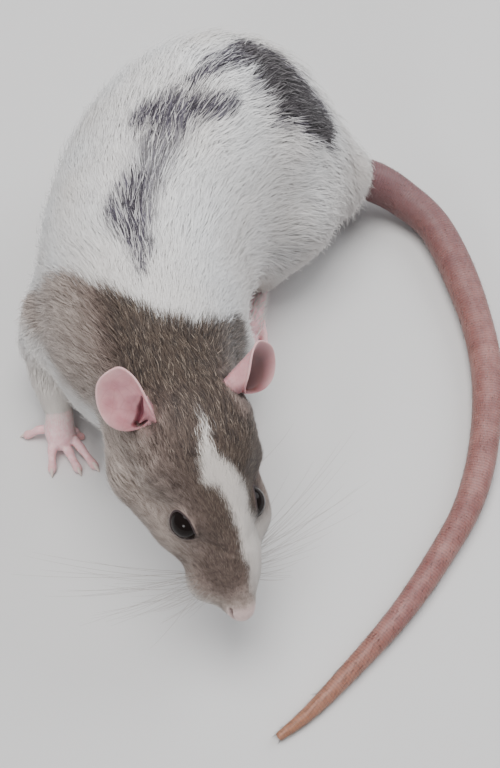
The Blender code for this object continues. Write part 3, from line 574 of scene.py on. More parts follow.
def add_mesh(name, points, faces, material):
    """Make a smooth mesh object from points in the pose and faces with the same number of corners."""
    faces = np.asarray(faces, dtype=np.int32)
    corners = faces.shape[1]
    mesh = bpy.data.meshes.new(name)
    mesh.vertices.add(len(points))
    mesh.vertices.foreach_set("co", ((points + SHIFT) * MM).astype(np.float32).ravel())
    mesh.loops.add(faces.size)
    mesh.loops.foreach_set("vertex_index", faces.ravel())
    mesh.polygons.add(len(faces))
    mesh.polygons.foreach_set("loop_start", np.arange(0, faces.size, corners, dtype=np.int32))
    mesh.update(calc_edges=True)
    mesh.validate()
    mesh.shade_smooth()
    mesh.materials.append(material)
    return add_item(name, mesh)


def add_colours(item, name, values):
    """Keep four numbers at each point of a mesh for its material."""
    layer = item.data.attributes.new(name, "FLOAT_COLOR", "POINT")
    layer.data.foreach_set("color", np.asarray(values, dtype=np.float32).ravel())


def settle(piece, slot, *nodes):
    """Set a piece on the body and let it stand for nodes. Its finish, the slot, is not used."""
    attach(piece, "root")
    if nodes:
        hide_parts(*nodes)


def add_piece(name, shape, material, slot, *nodes, **numbers):
    """Make a piece of points and triangles with the numbers that its material reads, and settle it."""
    piece = add_mesh(name, *shape, material)
    for key, values in numbers.items():
        add_colours(piece, key, values)
    settle(piece, slot, *nodes)


def read_triangles(mesh):
    """The points of a mesh and its faces as triangles."""
    points = np.empty(len(mesh.vertices) * 3)
    mesh.vertices.foreach_get("co", points)
    mesh.calc_loop_triangles()
    triangles = np.empty(len(mesh.loop_triangles) * 3, dtype=np.int32)
    mesh.loop_triangles.foreach_get("vertices", triangles)
    return points.reshape(-1, 3), triangles.reshape(-1, 3).astype(np.int64)


def plain_mesh(points, triangles):
    """A mesh of points and triangles to work on."""
    mesh = bpy.data.meshes.new("work")
    mesh.from_pydata(points.tolist(), [], triangles.tolist())
    return mesh


def take_triangles(work):
    """The points and triangles of a mesh that has been worked on, which is then let go."""
    mesh = bpy.data.meshes.new("work")
    work.to_mesh(mesh)
    work.free()
    result = read_triangles(mesh)
    bpy.data.meshes.remove(mesh)
    return result


def modified(points, triangles, kind, chosen=(), **settings):
    """The points and triangles that a modifier makes of a mesh, from its chosen points if there are any."""
    mesh = plain_mesh(points, triangles)
    item = add_item("work", mesh)
    change = item.modifiers.new("change", kind)
    if len(chosen):
        group = item.vertex_groups.new(name="chosen")
        group.add(np.nonzero(chosen)[0].tolist(), 1.0, "REPLACE")
        change.vertex_group = group.name
    for key, value in settings.items():
        setattr(change, key, value)
    depsgraph = bpy.context.evaluated_depsgraph_get()
    result = read_triangles(item.evaluated_get(depsgraph).data)
    bpy.data.objects.remove(item)
    bpy.data.meshes.remove(mesh)
    return result


def voxel_skin(shapes, voxel):
    """Fuse closed shapes of points and triangles into one skin of small faces."""
    return modified(*join_shapes(shapes), "REMESH", mode="VOXEL", voxel_size=voxel)


def tree_of(places):
    """A tree that finds the nearest of some places."""
    tree = KDTree(len(places))
    for index, place in enumerate(places.tolist()):
        tree.insert(place, index)
    tree.balance()
    return tree


def tube(path, radii, sides):
    """Rings of points across a path, each turned as little as possible from the one before it."""
    path = np.asarray(path, dtype=float)
    ways = unit(np.gradient(path, axis=0))
    across = np.cross(ways[0], (0.0, 0.0, 1.0))
    if np.linalg.norm(across) < 1e-6:
        across = np.array((1.0, 0.0, 0.0))
    angles = turns(sides)
    rings = []
    for point, way, radius in zip(path, ways, radii):
        across = unit(across - way * np.dot(across, way))
        upward = np.cross(across, way)
        rings.append(point + radius * (np.outer(np.cos(angles), across) + np.outer(np.sin(angles), upward)))
    return np.array(rings)


def closed_faces(rings):
    """Points and triangles of a tube of rings, closed at both ends."""
    steps, sides = rings.shape[:2]
    points = np.vstack([rings.reshape(-1, 3), rings[0].mean(axis=0), rings[-1].mean(axis=0)])
    ring = np.arange(sides)
    following = (ring + 1) % sides
    starts = np.arange(steps - 1)[:, None] * sides
    near, beside = (starts + ring).ravel(), (starts + following).ravel()
    last = (steps - 1) * sides
    triangles = np.vstack([
        np.column_stack((near, near + sides, beside)),
        np.column_stack((beside, near + sides, beside + sides)),
        np.column_stack((ring, following, np.full(sides, steps * sides))),
        np.column_stack((last + following, last + ring, np.full(sides, steps * sides + 1))),
    ])
    return points, facing_out(points, triangles)


def join_shapes(shapes):
    """Put several sets of points and triangles together."""
    points, triangles, count = [], [], 0
    for part_points, part_triangles in shapes:
        points.append(part_points)
        triangles.append(part_triangles + count)
        count += len(part_points)
    return np.vstack(points), np.vstack(triangles)


def ball_shape(subdivisions):
    """Points and triangles of a ball with a radius of one."""
    work = bmesh.new()
    bmesh.ops.create_icosphere(work, subdivisions=subdivisions, radius=1.0)
    points, triangles = take_triangles(work)
    return unit(points), triangles


def balls_along(rows, steps):
    """Balls along a smooth line of x, y, z and radius."""
    points, triangles = ball_shape(3)
    return [(row[:3] + points * row[3], triangles) for row in smooth_rows(rows, steps)]


# Markings and the lie of the coat

def streaks(points, seed):
    """Uneven noise for the edges of the markings."""
    return noise(points, 4.0, seed) * 0.6 + noise(points, 1.6, seed + 1) * 0.4


def hood_share(points, head, body, ragged):
    """How far each point lies in the brown hood, which ends behind and below at ragged edges."""
    x, y, z = points.T
    on_left = x > HOOD_LEFT_SIDE
    beside = np.maximum(0.0, HOOD_RIGHT_SIDE - x)
    edge = HOOD_EDGE + HOOD_EDGE_RIGHT[0] * beside + HOOD_EDGE_RIGHT[1] * beside ** 2
    beneath = np.maximum(0.0, HOOD_TOP - z)
    edge += rise(HOOD_LEFT_SIDE, HOOD_LEFT_SIDE + 6.0, x) * HOOD_EDGE_LEFT * beneath
    edge = np.minimum(edge, np.where(on_left, *HOOD_FARTHEST))
    low_edge = np.where(on_left, 24.0, 28.5 - 0.3 * np.clip(y + 20.0, -5.0, 30.0))
    body_low = rise(-4.0, 3.0, z - low_edge + 2.0 * ragged)
    lip = 3.6 * rise(-15.0, -8.0, head[:, 0])
    head_low = rise(-8.6, -5.6, head[:, 2] + 0.8 * ragged - 0.08 * (head[:, 0] + 20.0) - lip)
    return rise(1.2, -1.2, y - edge + 1.9 * ragged) * mixed(head_low, body_low, body)


def left_of_brown(points, head):
    """The share of the brown that the white blaze and the pale left side of the snout leave."""
    ahead, aside, above = head.T
    places, middles, halves = np.transpose(BLAZE)
    middle = np.interp(ahead, places, middles)
    half = np.interp(ahead, places, halves) * rise(-38.0, -35.0, ahead) * rise(-1.5, -3.5, ahead)
    uneven = 0.75 * noise(points, 2.6, 15) + 0.45 * noise(points, 0.9, 16)
    blaze = rise(-0.6, 0.7, half - np.abs(aside - middle) + uneven) * (above > 0.5) * (half > 0.05)
    whiteness = 0.95 - 0.35 * rise(-10.0, -3.0, ahead)
    left_snout = rise(-17.5, -13.0, ahead) * rise(-0.3, 0.8, aside - middle + uneven)
    return (1.0 - whiteness * blaze) * (1.0 - 0.85 * left_snout)


def paleness(points, head, body, ragged):
    """How pale the brown is: more down the sides of the head, on the snout, the shoulder and by the ears;
    less down the left side, partly as painted shade.
    """
    x, y, _ = points.T
    ahead = head[:, 0]
    turn = np.degrees(np.arctan2(head[:, 1], head[:, 2] - 0.5))
    on_right = 0.10 + 0.90 * rise(14.0, 104.0, -turn)
    # The left side of the head is kept less pale than the right: partly its own colour, partly painted shade
    # on the side turned from the light.
    on_left = 0.05 + 0.90 * rise(40.0, 105.0, turn)
    on_snout = 0.22 + 0.60 * rise(60.0, 125.0, np.abs(turn)) + 0.55 * rise(-6.5, -1.5, ahead)
    face = mixed(on_left, on_right, rise(6.0, -14.0, turn))
    face = mixed(face, on_snout, rise(-17.0, -10.0, ahead))
    shoulder = 0.92 * rise(-24.0, -36.5, x + 0.25 * (y + 8.0))
    by_ears = 0.40 * rise(2.9, 0.9, beside_ears(points) + 0.5 * ragged)
    return np.clip(np.maximum(mixed(face, shoulder, body), by_ears), 0.0, 1.0)


def stripes(points):
    """How dark the grey marks on the back are at each point."""
    grey = np.zeros(len(points))
    for index, (rows, dark) in enumerate(STRIPES):
        distance, _, width, _ = near_line(points, rows)
        patchy = streaks(points, 31 + index)
        grey = np.maximum(grey, dark * rise(1.25, 0.45, distance / width + 0.42 * patchy))
    return grey


def markings(points):
    """How brown, grey and cream the coat is at each point, and how pale the brown is."""
    head = to_head(points)
    ragged = streaks(points, 11)
    body = rise(*BODY_STARTS, head[:, 0])
    brown = hood_share(points, head, body, ragged) * left_of_brown(points, head)
    low = rise(34.0, 8.0, points[:, 2])
    on_face = rise(-42.0, -30.0, head[:, 0])
    cream = np.clip(0.30 + 0.5 * low + 0.8 * on_face + 0.35 * noise(points, 9.0, 41), 0.0, 1.0)
    pale = paleness(points, head, body, ragged)
    return np.column_stack((brown, stripes(points) * (1.0 - brown), cream, pale))


def beside_ears(points):
    """How far each point is from the lines of short hair at the feet of the ears."""
    return np.min([near_line(points, from_head(rows))[0] for rows in EAR_BASES.values()], axis=0)


def coat_table():
    """Places on the whole body with the coat's length, width, depth and closeness there."""
    rows = []
    for place, *values in HEAD_COAT:
        for side in (1, -1) if place[1] else (1,):
            rows.append((*from_head(mirrored(place, side)), *values))
    rows += [(*place, *values) for place, *values in BODY_COAT]
    return np.array(rows, dtype=float)


COAT_TABLE = coat_table()


def coat_at(points):
    """Length, width, depth and closeness of the coat at each point, from the nearest places named for it."""
    total = np.zeros((len(points), 4))
    weights = np.zeros(len(points))
    for row in COAT_TABLE:
        gap = ((points - row[:3]) ** 2).sum(axis=1)
        weight = 1.0 / (gap + 2.0) ** 2.5
        total += weight[:, None] * row[3:]
        weights += weight
    total /= weights[:, None]
    near_ears = rise(2.6, 0.4, beside_ears(points))
    total *= 1.0 - near_ears[:, None] * (0.40, 0.25, 0.55, 0.15)
    return total


def in_plane(vectors, normals):
    """The part of each vector along the surface, with a length of one."""
    return unit(vectors - normals * np.einsum("ij,ij->i", vectors, normals)[:, None])


def lie_of_coat(points, normals):
    """The way that the coat lies: back from the nose, along the trunk and down the limbs."""
    total = np.zeros_like(points)
    for rows in (BODY_LINE, *LIMBS):
        distance, way, radius, _ = near_line(points, rows)
        total += way * (np.minimum(radius / distance, 3.0) ** 5)[:, None]
    total = unit(total)
    on_side = 1.0 - np.abs(normals[:, 2])
    behind = rise(-20.0, 0.0, points[:, 1])
    total[:, 2] -= 0.55 * on_side * behind
    return in_plane(total, normals)


# Skin

def grown_node(name, growth):
    """A node's solid in the frame of the pose, grown a little."""
    work = bmesh.new()
    work.from_mesh(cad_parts[name].data)
    bmesh.ops.remove_doubles(work, verts=work.verts, dist=1e-6)
    points, triangles = take_triangles(work)
    points = points / MM - SHIFT
    return points + corner_normals(points, triangles) * growth, triangles


def refine(points, triangles, chosen):
    """Divide the triangles whose corners are all chosen into four, and their neighbours to match."""
    mesh = plain_mesh(points, triangles)
    work = bmesh.new()
    work.from_mesh(mesh)
    bpy.data.meshes.remove(mesh)
    work.verts.ensure_lookup_table()
    flags = chosen.tolist()
    edges = [edge for edge in work.edges if flags[edge.verts[0].index] and flags[edge.verts[1].index]]
    bmesh.ops.subdivide_edges(work, edges=edges, cuts=1, use_grid_fill=True)
    bmesh.ops.triangulate(work, faces=work.faces)
    return take_triangles(work)


def eye_frame(side):
    """An eye's centre in the pose and its axes: along the lids, across them and outwards."""
    facing = unit(mirrored(EYE_FACING[side], side))
    along = unit(np.array(LID_WAY) - facing * np.dot(LID_WAY, facing))
    axes = np.array((along, np.cross(facing, along) * side, facing))
    return from_head(mirrored(EYE_DRAWN[side], side)), axes @ HEAD_TURN.T


def round_the_lids(points, side):
    """Distance of each point beyond the edge of the lids, measured over the eyeball, and its reach."""
    centre, axes = eye_frame(side)
    offset = points - centre
    reach = lengths_of(offset)
    along, across, outward = (offset / reach[:, None] @ axes.T).T
    turn = np.arccos(np.clip(outward, -1.0, 1.0))
    flat = np.maximum(np.hypot(along, across), 1e-6)
    along, across = along / flat, across / flat
    long_turn = math.asin(LID_HALF_LENGTH / EYE_RADIUS) * np.where(along > 0, *LID_CORNERS)
    high_turn = math.asin(LID_HALF_HEIGHT / EYE_RADIUS)
    power = np.where(along > 0, *LID_ROUNDNESS)
    edge = ((np.abs(along) / long_turn) ** power + (np.abs(across) / high_turn) ** power) ** (-1 / power)
    return (turn - edge) * EYE_RADIUS, reach, across


def shape_lids(points):
    """Draw the skin over each eyeball into lids with a thin edge, a rounded rim and a fold behind it."""
    for side in (1, -1):
        centre, _ = eye_frame(side)
        beyond, reach, across = round_the_lids(points, side)
        height = np.interp(beyond, *np.transpose(LID_HEIGHTS))
        height += np.where(across > 0, UPPER_LID, 0.0) * rise(0.1, 0.5, beyond) * rise(1.6, 1.0, beyond)
        share = (1.0 - rise(0.5, 2.4, beyond)) * (reach < LID_REACH)
        target = reach + share * (EYE_RADIUS + height - reach)
        points = centre + (points - centre) * (target / reach)[:, None]
    return points


def on_skin(points, rows):
    """Set each point of a line in the head frame onto the nearest point of the skin."""
    near = points[to_head(points)[:, 0] > -16.0]
    places = from_head(smooth_rows(rows, 14))
    return np.array([near[np.argmin(((near - place) ** 2).sum(axis=1))] for place in places])


def nose_share(points):
    """How far each point belongs to the bare pad of the nose."""
    place = (to_head(points) - NOSE_PAD[0]) / NOSE_PAD[1]
    return rise(1.4, 0.75, lengths_of(place))


def fill_out(points, triangles):
    """Fill out the cheeks, the pads of the muzzle and the tip of the nose."""
    normals = corner_normals(points, triangles)
    place = to_head(points)
    growth = np.zeros(len(points))
    for middle, reach, depth in BULGES:
        growth += depth * rise(reach, 0.0, lengths_of(place - middle))
    return points + normals * growth[:, None]


def fused_body():
    """Fuse the solids into one skin, sink it under the coat and fill out the face."""
    shapes = [grown_node(name, NODE_GROWTH) for name in BODY_NODES]
    shapes += [grown_node(name, SOCKET_FILL) for name in ("eye_left", "eye_right")]
    points, triangles = voxel_skin(shapes, SKIN_VOXEL)

    ahead = to_head(points)[:, 0]
    from_ends = np.min([lengths_of(points - rows[-1][:3]) for rows in LIMBS], axis=0)
    share = rise(-22.0, -44.0, ahead) * (0.12 + 0.88 * rise(4.0, 18.0, from_ends))
    points = smoothed(points, triangles, 1.0, FACE_SMOOTHING)
    points = smoothed(points, triangles, share, BODY_SMOOTHING)
    depth = coat_at(points)[:, 2]
    points = points - corner_normals(points, triangles) * (0.85 * depth + NODE_GROWTH)[:, None]
    points = smoothed(points, triangles, rise(-30.0, -46.0, ahead), 8)
    points = fill_out(points, triangles)
    ahead = to_head(points)[:, 0]
    cheeks = rise(-30.0, -24.0, ahead) * rise(-9.0, -13.0, ahead)
    return smoothed(points, triangles, cheeks, FILL_SMOOTHING), triangles


def carve_face(points, triangles):
    """Press the grooves of the face into the skin, and say how much painted shade each point of it gets."""
    dark = np.zeros(len(points))
    for rows, width, depth, groove_shade, sides in FACE_GROOVES:
        for side in sides:
            distance = near_line(points, on_skin(points, mirrored(rows, side)))[0]
            share = np.clip(1.0 - (distance / width) ** 2, 0.0, 1.0) ** 2
            points = points - corner_normals(points, triangles) * (depth * share)[:, None]
            dark = np.maximum(dark, share * groove_shade)
    return points, dark


def make_skin():
    """The whole skin, with finer triangles on the snout and round the eyes, and the painted shade of its
    grooves.
    """
    points, triangles = fused_body()
    for reach, snout in FINE_FACE:
        chosen = to_head(points)[:, 0] > snout
        for side in (1, -1):
            chosen |= lengths_of(points - eye_frame(side)[0]) < reach
        points, triangles = refine(points, triangles, chosen)
        points = smoothed(points, triangles, to_head(points)[:, 0] > FINE_SMOOTHING, 3)
    points, dark = carve_face(shape_lids(points), triangles)
    return room_for_ears(points), triangles, dark


def thinned(points, triangles):
    """The skin with fewer triangles behind the head, under the long coat, and the point each point was."""
    covered = to_head(points)[:, 0] < THINNED_BEHIND
    fewer, fewer_triangles = modified(points, triangles, "DECIMATE", covered, ratio=SKIN_KEPT)
    tree = tree_of(points)
    return fewer, fewer_triangles, [tree.find(place)[1] for place in fewer.tolist()]


# Ears

def ear_frame(name):
    """An ear's rim middle and canal in the pose, its length, width and opening ways, and its inner side."""
    middle, opening, canal = (np.array(row) for row in EARS[name])
    opening = unit(opening)
    length = middle - canal
    length = unit(length - opening * np.dot(length, opening))
    turn = math.radians(EAR_SIZES[name][0])
    length = length * math.cos(turn) - np.cross(opening, length) * math.sin(turn)
    width = np.cross(opening, length)
    side = 1 if name == "ear_left" else -1
    turned = np.array((length, width * side, opening)) @ HEAD_TURN.T
    return from_head(middle), from_head(canal), turned


def ear_cup(name, shares, angles):
    """Shares from the canal to the rim and turns round it over an ear's cup, and its rim in its own axes."""
    _, half_length, outer_half, inner_half = EAR_SIZES[name]
    part, angle = np.meshgrid(shares, angles, indexing="ij")
    sine, cosine = np.sin(angle), np.cos(angle)
    wavy = 1.0 + 0.012 * np.sin(3 * angle + 0.6) + 0.008 * np.sin(7 * angle)
    along = half_length * np.sign(cosine) * np.abs(cosine) ** EAR_SQUARENESS
    across = np.where(sine > 0, inner_half, outer_half) * np.sign(sine) * np.abs(sine) ** EAR_SQUARENESS
    notch = EAR_NOTCHES[name] * np.maximum(0.0, -cosine) ** 2.5
    return part, angle, np.stack((along * wavy, across * wavy, -notch), axis=-1)


def bump(values, middle, reach):
    """A smooth bump one high at the middle value."""
    return np.exp(-((values - middle) / reach) ** 2)


def ear_inside(name, shares, angles):
    """The inside of an ear from its canal to its rim, in the ear's own axes."""
    middle, canal, axes = ear_frame(name)
    start = axes @ (canal - middle)
    part, angle, rim = ear_cup(name, shares, angles)
    places = start + (rim - start) * part[..., None]
    # What is added to the height changes the places themselves.
    length, inner, height = (places[..., axis] for axis in range(3))
    height -= EAR_BELLY * np.cos(math.pi / 2 * part)
    # The raised lobe beside the canal, the fold above it, the slit, the edge and the dip down the outer side.
    height += EAR_LOBE * bump(length, -3.0, 1.5) * bump(inner, 1.6, 0.9)
    height += EAR_FOLD * bump(length + 0.25 * inner, 0.35, 0.55) * rise(-1.5, 1.5, inner) * (1 - part ** 4)
    flat = np.stack((length, inner, np.zeros_like(length)), axis=-1).reshape(-1, 3)
    distance, _, width, _ = near_line(flat, EAR_SLIT)
    groove = np.exp(-(distance / width) ** 4).reshape(length.shape) * rise(1.0, 0.9, part)
    height -= EAR_SLIT_DEPTH * groove
    height += rise(0.72, 1.0, part) * (0.15 + 0.75 * np.maximum(0.0, np.sin(angle)) ** 2)
    height -= EAR_DIP * bump(part, 0.62, 0.12) * np.maximum(0.0, -np.sin(angle))
    return places, groove, part


def ear_rim(inside):
    """Rings over the rolled rim of an ear, from the edge of its inside to its back."""
    outward = inside[-1] - inside[-1].mean(axis=0)
    outward[:, 2] = 0.0
    outward = unit(outward) * RIM_SPREAD
    upward = np.array((0.0, 0.0, RIM_DROP))
    return np.array([
        inside[-1] + outward * math.sin(turn) + upward * (math.cos(turn) - 1.0)
        for turn in np.radians(RIM_TURNS)
    ])


def ear_back(name, inside, part, angles):
    """Rings down the back of an ear's cup, which draws in behind its middle to a neck in the head."""
    back = inside.copy()
    back[..., 2] -= EAR_WALL + EAR_THICKENING * (1 - part) ** 1.2
    back, part = back[::-1][2:], part[::-1][2:]
    middle, canal, axes = ear_frame(name)
    root = axes @ (canal - middle) - np.array((0.0, 0.0, NECK_DEPTH))
    sine, cosine = np.sin(angles), np.cos(angles)
    inner_side = np.maximum(0.0, sine) * min(1.0, EAR_SKIRTS[name] / 9.0)
    low_side = 2.0 * inner_side * np.maximum(0.0, -cosine)
    neck = root + np.column_stack((
        2.8 * cosine - 3.0 * inner_side - 3.6 * low_side,
        np.where(sine > 0, EAR_SKIRTS[name], 2.3) * sine,
        3.0 * inner_side + low_side,
    ))
    drawn = np.minimum(1.0, inner_side + 0.5 * low_side) * rise(1.0, 0.4, part)
    share = np.maximum(rise(0.62, 0.1, part), drawn)[..., None]
    return back + (neck - back) * share, part


def ear_surface(name):
    """The whole surface of an ear, and how grooved, near the rim and low in the cup each point is, with
    painted shade added to the last on the left ear.
    """
    angles = turns(EAR_ANGLES)
    inside, groove, part = ear_inside(name, np.linspace(CANAL_SHARE, 1.0, EAR_RINGS) ** 0.85, angles)
    rim = ear_rim(inside)
    back, back_part = ear_back(name, inside, part, angles)
    points, triangles = closed_faces(np.concatenate([inside, rim, back]))
    middle, _, axes = ear_frame(name)
    points = middle + points @ axes
    thin = 1.0 - 0.85 * rise(-0.3, -0.8, np.cos(angles))
    # Painted shade over the inside of the left ear.
    painted_shade = EAR_PAINTED_SHADES[name]
    shapes = [rings.shape[:2] for rings in (inside, rim, back)]
    columns = []
    # Each number inside the cup, over its rim, on its back, and at the first and the last point.
    for *values, ends in (
        (groove, 0.0, 0.0, (0.0, 0.0)),
        (part ** 8 * thin, thin, back_part ** 8 * thin, (0.0, 0.0)),
        (1 - part + painted_shade, 0.5 * painted_shade, 1 - back_part, (1.0 + painted_shade, 1.0)),
        (1.0, 1.0, 1.0, (1.0, 1.0)),
    ):
        spread = [np.broadcast_to(value, shape).ravel() for value, shape in zip(values, shapes)]
        columns.append(np.concatenate([*spread, ends]))
    return points, facing_out(points, triangles), np.column_stack(columns)


def room_for_ears(points):
    """Press the skin down under the cup of each ear, but let it close over the foot of the rim."""
    angles = turns(72)
    shares = np.linspace(CANAL_SHARE, 1.0, 24)
    foot = (rise(-0.55, -0.9, np.cos(angles))[None] * rise(0.86, 1.0, shares)[:, None]).ravel()
    for name in EARS:
        middle, _, axes = ear_frame(name)
        cup = ear_inside(name, shares, angles)[0].reshape(-1, 3)
        tree = tree_of(cup * (1.0, 1.0, 0.0))
        local = (points - middle) @ axes.T
        for index in np.nonzero((np.abs(local) < BED_REACH).all(axis=1))[0]:
            _, nearest, gap = tree.find((local[index, 0], local[index, 1], 0.0))
            limit = cup[nearest, 2] - BED_DEPTH + FOOT_COVER * foot[nearest]
            if gap < 0.35 and local[index, 2] > limit:
                local[index, 2] = limit
        points = middle + local @ axes
    return points


def under_ears(points, surfaces):
    """Which points of the skin an ear covers: seen along its opening way, its surface lies over them."""
    covered = np.zeros(len(points))
    for name, (ear_points, ear_triangles, _) in surfaces.items():
        middle, _, axes = ear_frame(name)
        tree = BVHTree.FromPolygons(ear_points.tolist(), ear_triangles.tolist())
        way = axes[2].tolist()
        for index in np.nonzero(lengths_of(points - middle) < EAR_REACH)[0]:
            if tree.ray_cast(points[index].tolist(), way, COVER_REACH)[0] is not None:
                covered[index] = 1.0
    return covered


def inside_ears(points):
    """Whether each point lies in front of the inside of an ear, within its cup."""
    caught = np.zeros(len(points), dtype=bool)
    for name, (_, half_length, outer_half, inner_half) in EAR_SIZES.items():
        middle, canal, axes = ear_frame(name)
        length, inner, outward = ((points - middle) @ axes.T).T
        start = axes @ (canal - middle)
        across = np.where(inner > 0, inner_half, outer_half)
        out = np.hypot(length / half_length, inner / across)
        floor = start[2] * (1 - out) - EAR_BELLY * np.cos(math.pi / 2 * np.minimum(out, 1.0)) - 0.6
        caught |= (out < 0.97) & (outward > floor - 0.3) & (outward < 5.0)
    return caught


# Coat

def plant(points, triangles, weights, count, rng):
    """Choose evenly spread places on a mesh by weight: triangle and shares of its corners."""
    first, second, third = corners_of(points, triangles)
    area = 0.5 * lengths_of(np.cross(second - first, third - first))
    total = np.cumsum(area * weights)
    picks = (np.arange(count) + rng.random(count)) / count * total[-1]
    chosen = np.minimum(np.searchsorted(total, picks), len(triangles) - 1)
    root = np.sqrt(rng.random(count))
    side = rng.random(count)
    shares = np.column_stack((1 - root, root * (1 - side), root * side))
    return chosen, shares


def comb(tree, places, distances):
    """Step along the skin by the lie of the coat, and say where each step ends and which way is out."""
    reached = np.empty_like(places)
    normals = np.empty_like(places)
    for index, place in enumerate(places.tolist()):
        near, normal, _, _ = tree.find_nearest(place, distances[index])
        if near is None:
            near, normal = place, (0.0, 0.0, 1.0)
        reached[index] = near
        normals[index] = normal
    return reached, normals


def draw_together(root, middle, tip, length, rng):
    """Draw locks into tufts round the ones that lead them, and say which lock each of them follows."""
    lead = rng.choice(len(root), len(root) // LOCKS_TO_TUFT, replace=False)
    leaders = tree_of(root[lead])
    follow = lead[[leaders.find(place)[1] for place in root.tolist()]]
    draw = np.clip(0.06 + 0.035 * length, 0.06, 0.32)
    draw = np.where(lengths_of(tip[follow] - tip) * draw < 0.8 * length, draw, 0.0)[:, None]
    return mixed(middle, middle[follow], 0.35 * draw), mixed(tip, tip[follow], draw), follow


def lay_locks(skin, tree, chosen, shares, rng):
    """Work out the root, middle and tip of each lock of the coat, and its looks."""
    points, triangles, normals = skin
    corners = triangles[chosen]
    root = np.einsum("ij,ijk->ik", shares, points[corners])
    normal = unit(np.einsum("ij,ijk->ik", shares, normals[corners]))
    length, width, depth, _ = coat_at(root).T
    count = len(root)
    length = length * rng.uniform(0.75, 1.15, count)
    way = lie_of_coat(root, normal)
    loose = np.clip(length / 7.0, 0.12, 1.0)
    swirl = loose * (0.36 * noise(root, 8.0, 51) + 0.32 * noise(root, 3.0, 52))
    swirl += 0.22 * rng.normal(size=count)
    way = np.cos(swirl)[:, None] * way + np.sin(swirl)[:, None] * np.cross(normal, way)
    caught = np.zeros(count, dtype=bool)
    for part in (1.0, 0.5):
        caught |= inside_ears(root + way * (part * length)[:, None] + normal * depth[:, None])
    length = np.where(caught, 0.45 * length, length)

    middle, middle_normal = comb(tree, root + way * (0.5 * length)[:, None], length + 3.0)
    onward = in_plane(way, middle_normal)
    tip, tip_normal = comb(tree, middle + onward * (0.5 * length)[:, None], length + 3.0)
    middle, tip, follow = draw_together(root, middle, tip, length, rng)

    height = depth * rng.uniform(0.60, 1.04, count) * np.where(caught, 0.4, 1.0)
    proud = rng.random(count) < PROUD_SHARE
    height += np.where(proud & (length > 1.0), length * rng.uniform(*PROUD_LIFT, count), 0.0)
    root_point = root - normal * ROOT_SINK * np.clip(length / 4.0, 0.4, 1.0)[:, None]
    middle = middle + middle_normal * (0.80 * height)[:, None]
    tip = tip + tip_normal * height[:, None]
    for places in (root_point, middle, tip):
        places[:, 2] = np.maximum(places[:, 2], LEAST_HEIGHT)
    marked_at = mixed(middle, tip, 0.65) + rng.normal(0.0, MIXING, (count, 3))
    tuft = rng.random(count)[follow]
    width = width * rng.uniform(0.6, 1.2, count) * np.where(proud, 0.45, 1.0)
    return {
        "root": root_point, "middle": middle, "tip": tip, "normal": normal, "width": width, "length": length,
        "marks": markings(marked_at), "random": rng.random(count), "tuft": tuft, "place": root,
        "turn": rng.normal(0.0, 0.45, count),
    }


def lock_pattern(rings):
    """The triangles of one lock: over its root, between its rings of three corners, and round its tip."""
    pattern = [(0, 2, 1)]
    for ring in range(rings - 1):
        for corner in range(3):
            near, beside = 3 * ring + corner, 3 * ring + (corner + 1) % 3
            pattern += [(near, beside, beside + 3), (near, beside + 3, near + 3)]
    last = 3 * (rings - 1)
    return np.array(pattern + [(last + corner, last + (corner + 1) % 3, last + 3) for corner in range(3)])


def add_locks(name, locks, chosen, rings, unwrap, material, slot):
    """Make closed three-sided locks that taper to a point, with an unwrap patch for each, and settle them."""
    data = {key: values[chosen] for key, values in locks.items()}
    count = len(data["root"])
    control = 2 * data["middle"] - 0.5 * (data["root"] + data["tip"])
    turn = data["turn"][:, None]
    corners = []
    for place, share in rings:
        first, second = mixed(data["root"], control, place), mixed(control, data["tip"], place)
        middle = mixed(first, second, place)
        way = unit(second - first)
        side = unit(np.cross(way, data["normal"]))
        top = np.cross(side, way)
        side, top = np.cos(turn) * side + np.sin(turn) * top, np.cos(turn) * top - np.sin(turn) * side
        width = (data["width"] * share)[:, None]
        corners += [middle - side * width / 2, middle + top * width * 0.45, middle + side * width / 2]
    corners.append(data["tip"])
    size = len(corners)
    points = np.stack(corners, axis=1).reshape(-1, 3)
    faces = (lock_pattern(len(rings))[None] + size * np.arange(count)[:, None, None]).reshape(-1, 3)
    piece = add_mesh(name, points, faces, material)
    outward = unit(points.reshape(count, size, 3) - np.mean(corners, axis=0)[:, None])
    soft = unit(mixed(outward, data["normal"][:, None], SOFTNESS))
    piece.data.normals_split_custom_set_from_vertices(soft.reshape(-1, 3))

    along = np.append(np.repeat([place for place, _ in rings], 3), 1.0)
    chance, tuft = data["random"][:, None], data["tuft"][:, None]
    long = np.clip(data["length"] / 8.0, 0.0, 1.0)[:, None]
    strand = [np.broadcast_to(values, (count, size)) for values in (chance, along, tuft, long)]
    add_colours(piece, "strand", np.stack(strand, axis=-1))
    add_colours(piece, "marks", np.repeat(data["marks"], size, axis=0))

    sideways = np.append(np.tile((0.0, 0.5, 1.0), len(rings)), 0.5)
    patch = unwrap[:, None] + PATCH * np.column_stack((sideways, along))
    layer = piece.data.uv_layers.new(name="OFBake")
    layer.data.foreach_set("uv", patch.reshape(-1, 2)[faces.ravel()].astype(np.float32).ravel())
    settle(piece, slot)


def unwrap_round(places, rows):
    """Places unrolled round a line: turn about it and distance along it, both from 0 to 1."""
    rows = np.asarray(rows, dtype=float)
    _, way, _, along = near_line(places, rows)
    starts = lengths_along(rows)
    axis = np.column_stack([np.interp(along, starts, rows[:, column]) for column in range(3)])
    offset = places - axis
    across = unit(np.cross(way, (0.0, 0.0, 1.0)))
    up = np.cross(across, way)
    turn = np.arctan2(np.einsum("ij,ij->i", offset, across), np.einsum("ij,ij->i", offset, up))
    return turn / (2 * math.pi) + 0.5, along / starts[-1]


def unwrap_in_strip(places, rows, index, count):
    """Places unrolled round one of several lines, each of which has its own strip of the unwrap."""
    turn, along = unwrap_round(places, rows)
    return np.column_stack(((index + 0.98 * turn) / count, 0.996 * along))


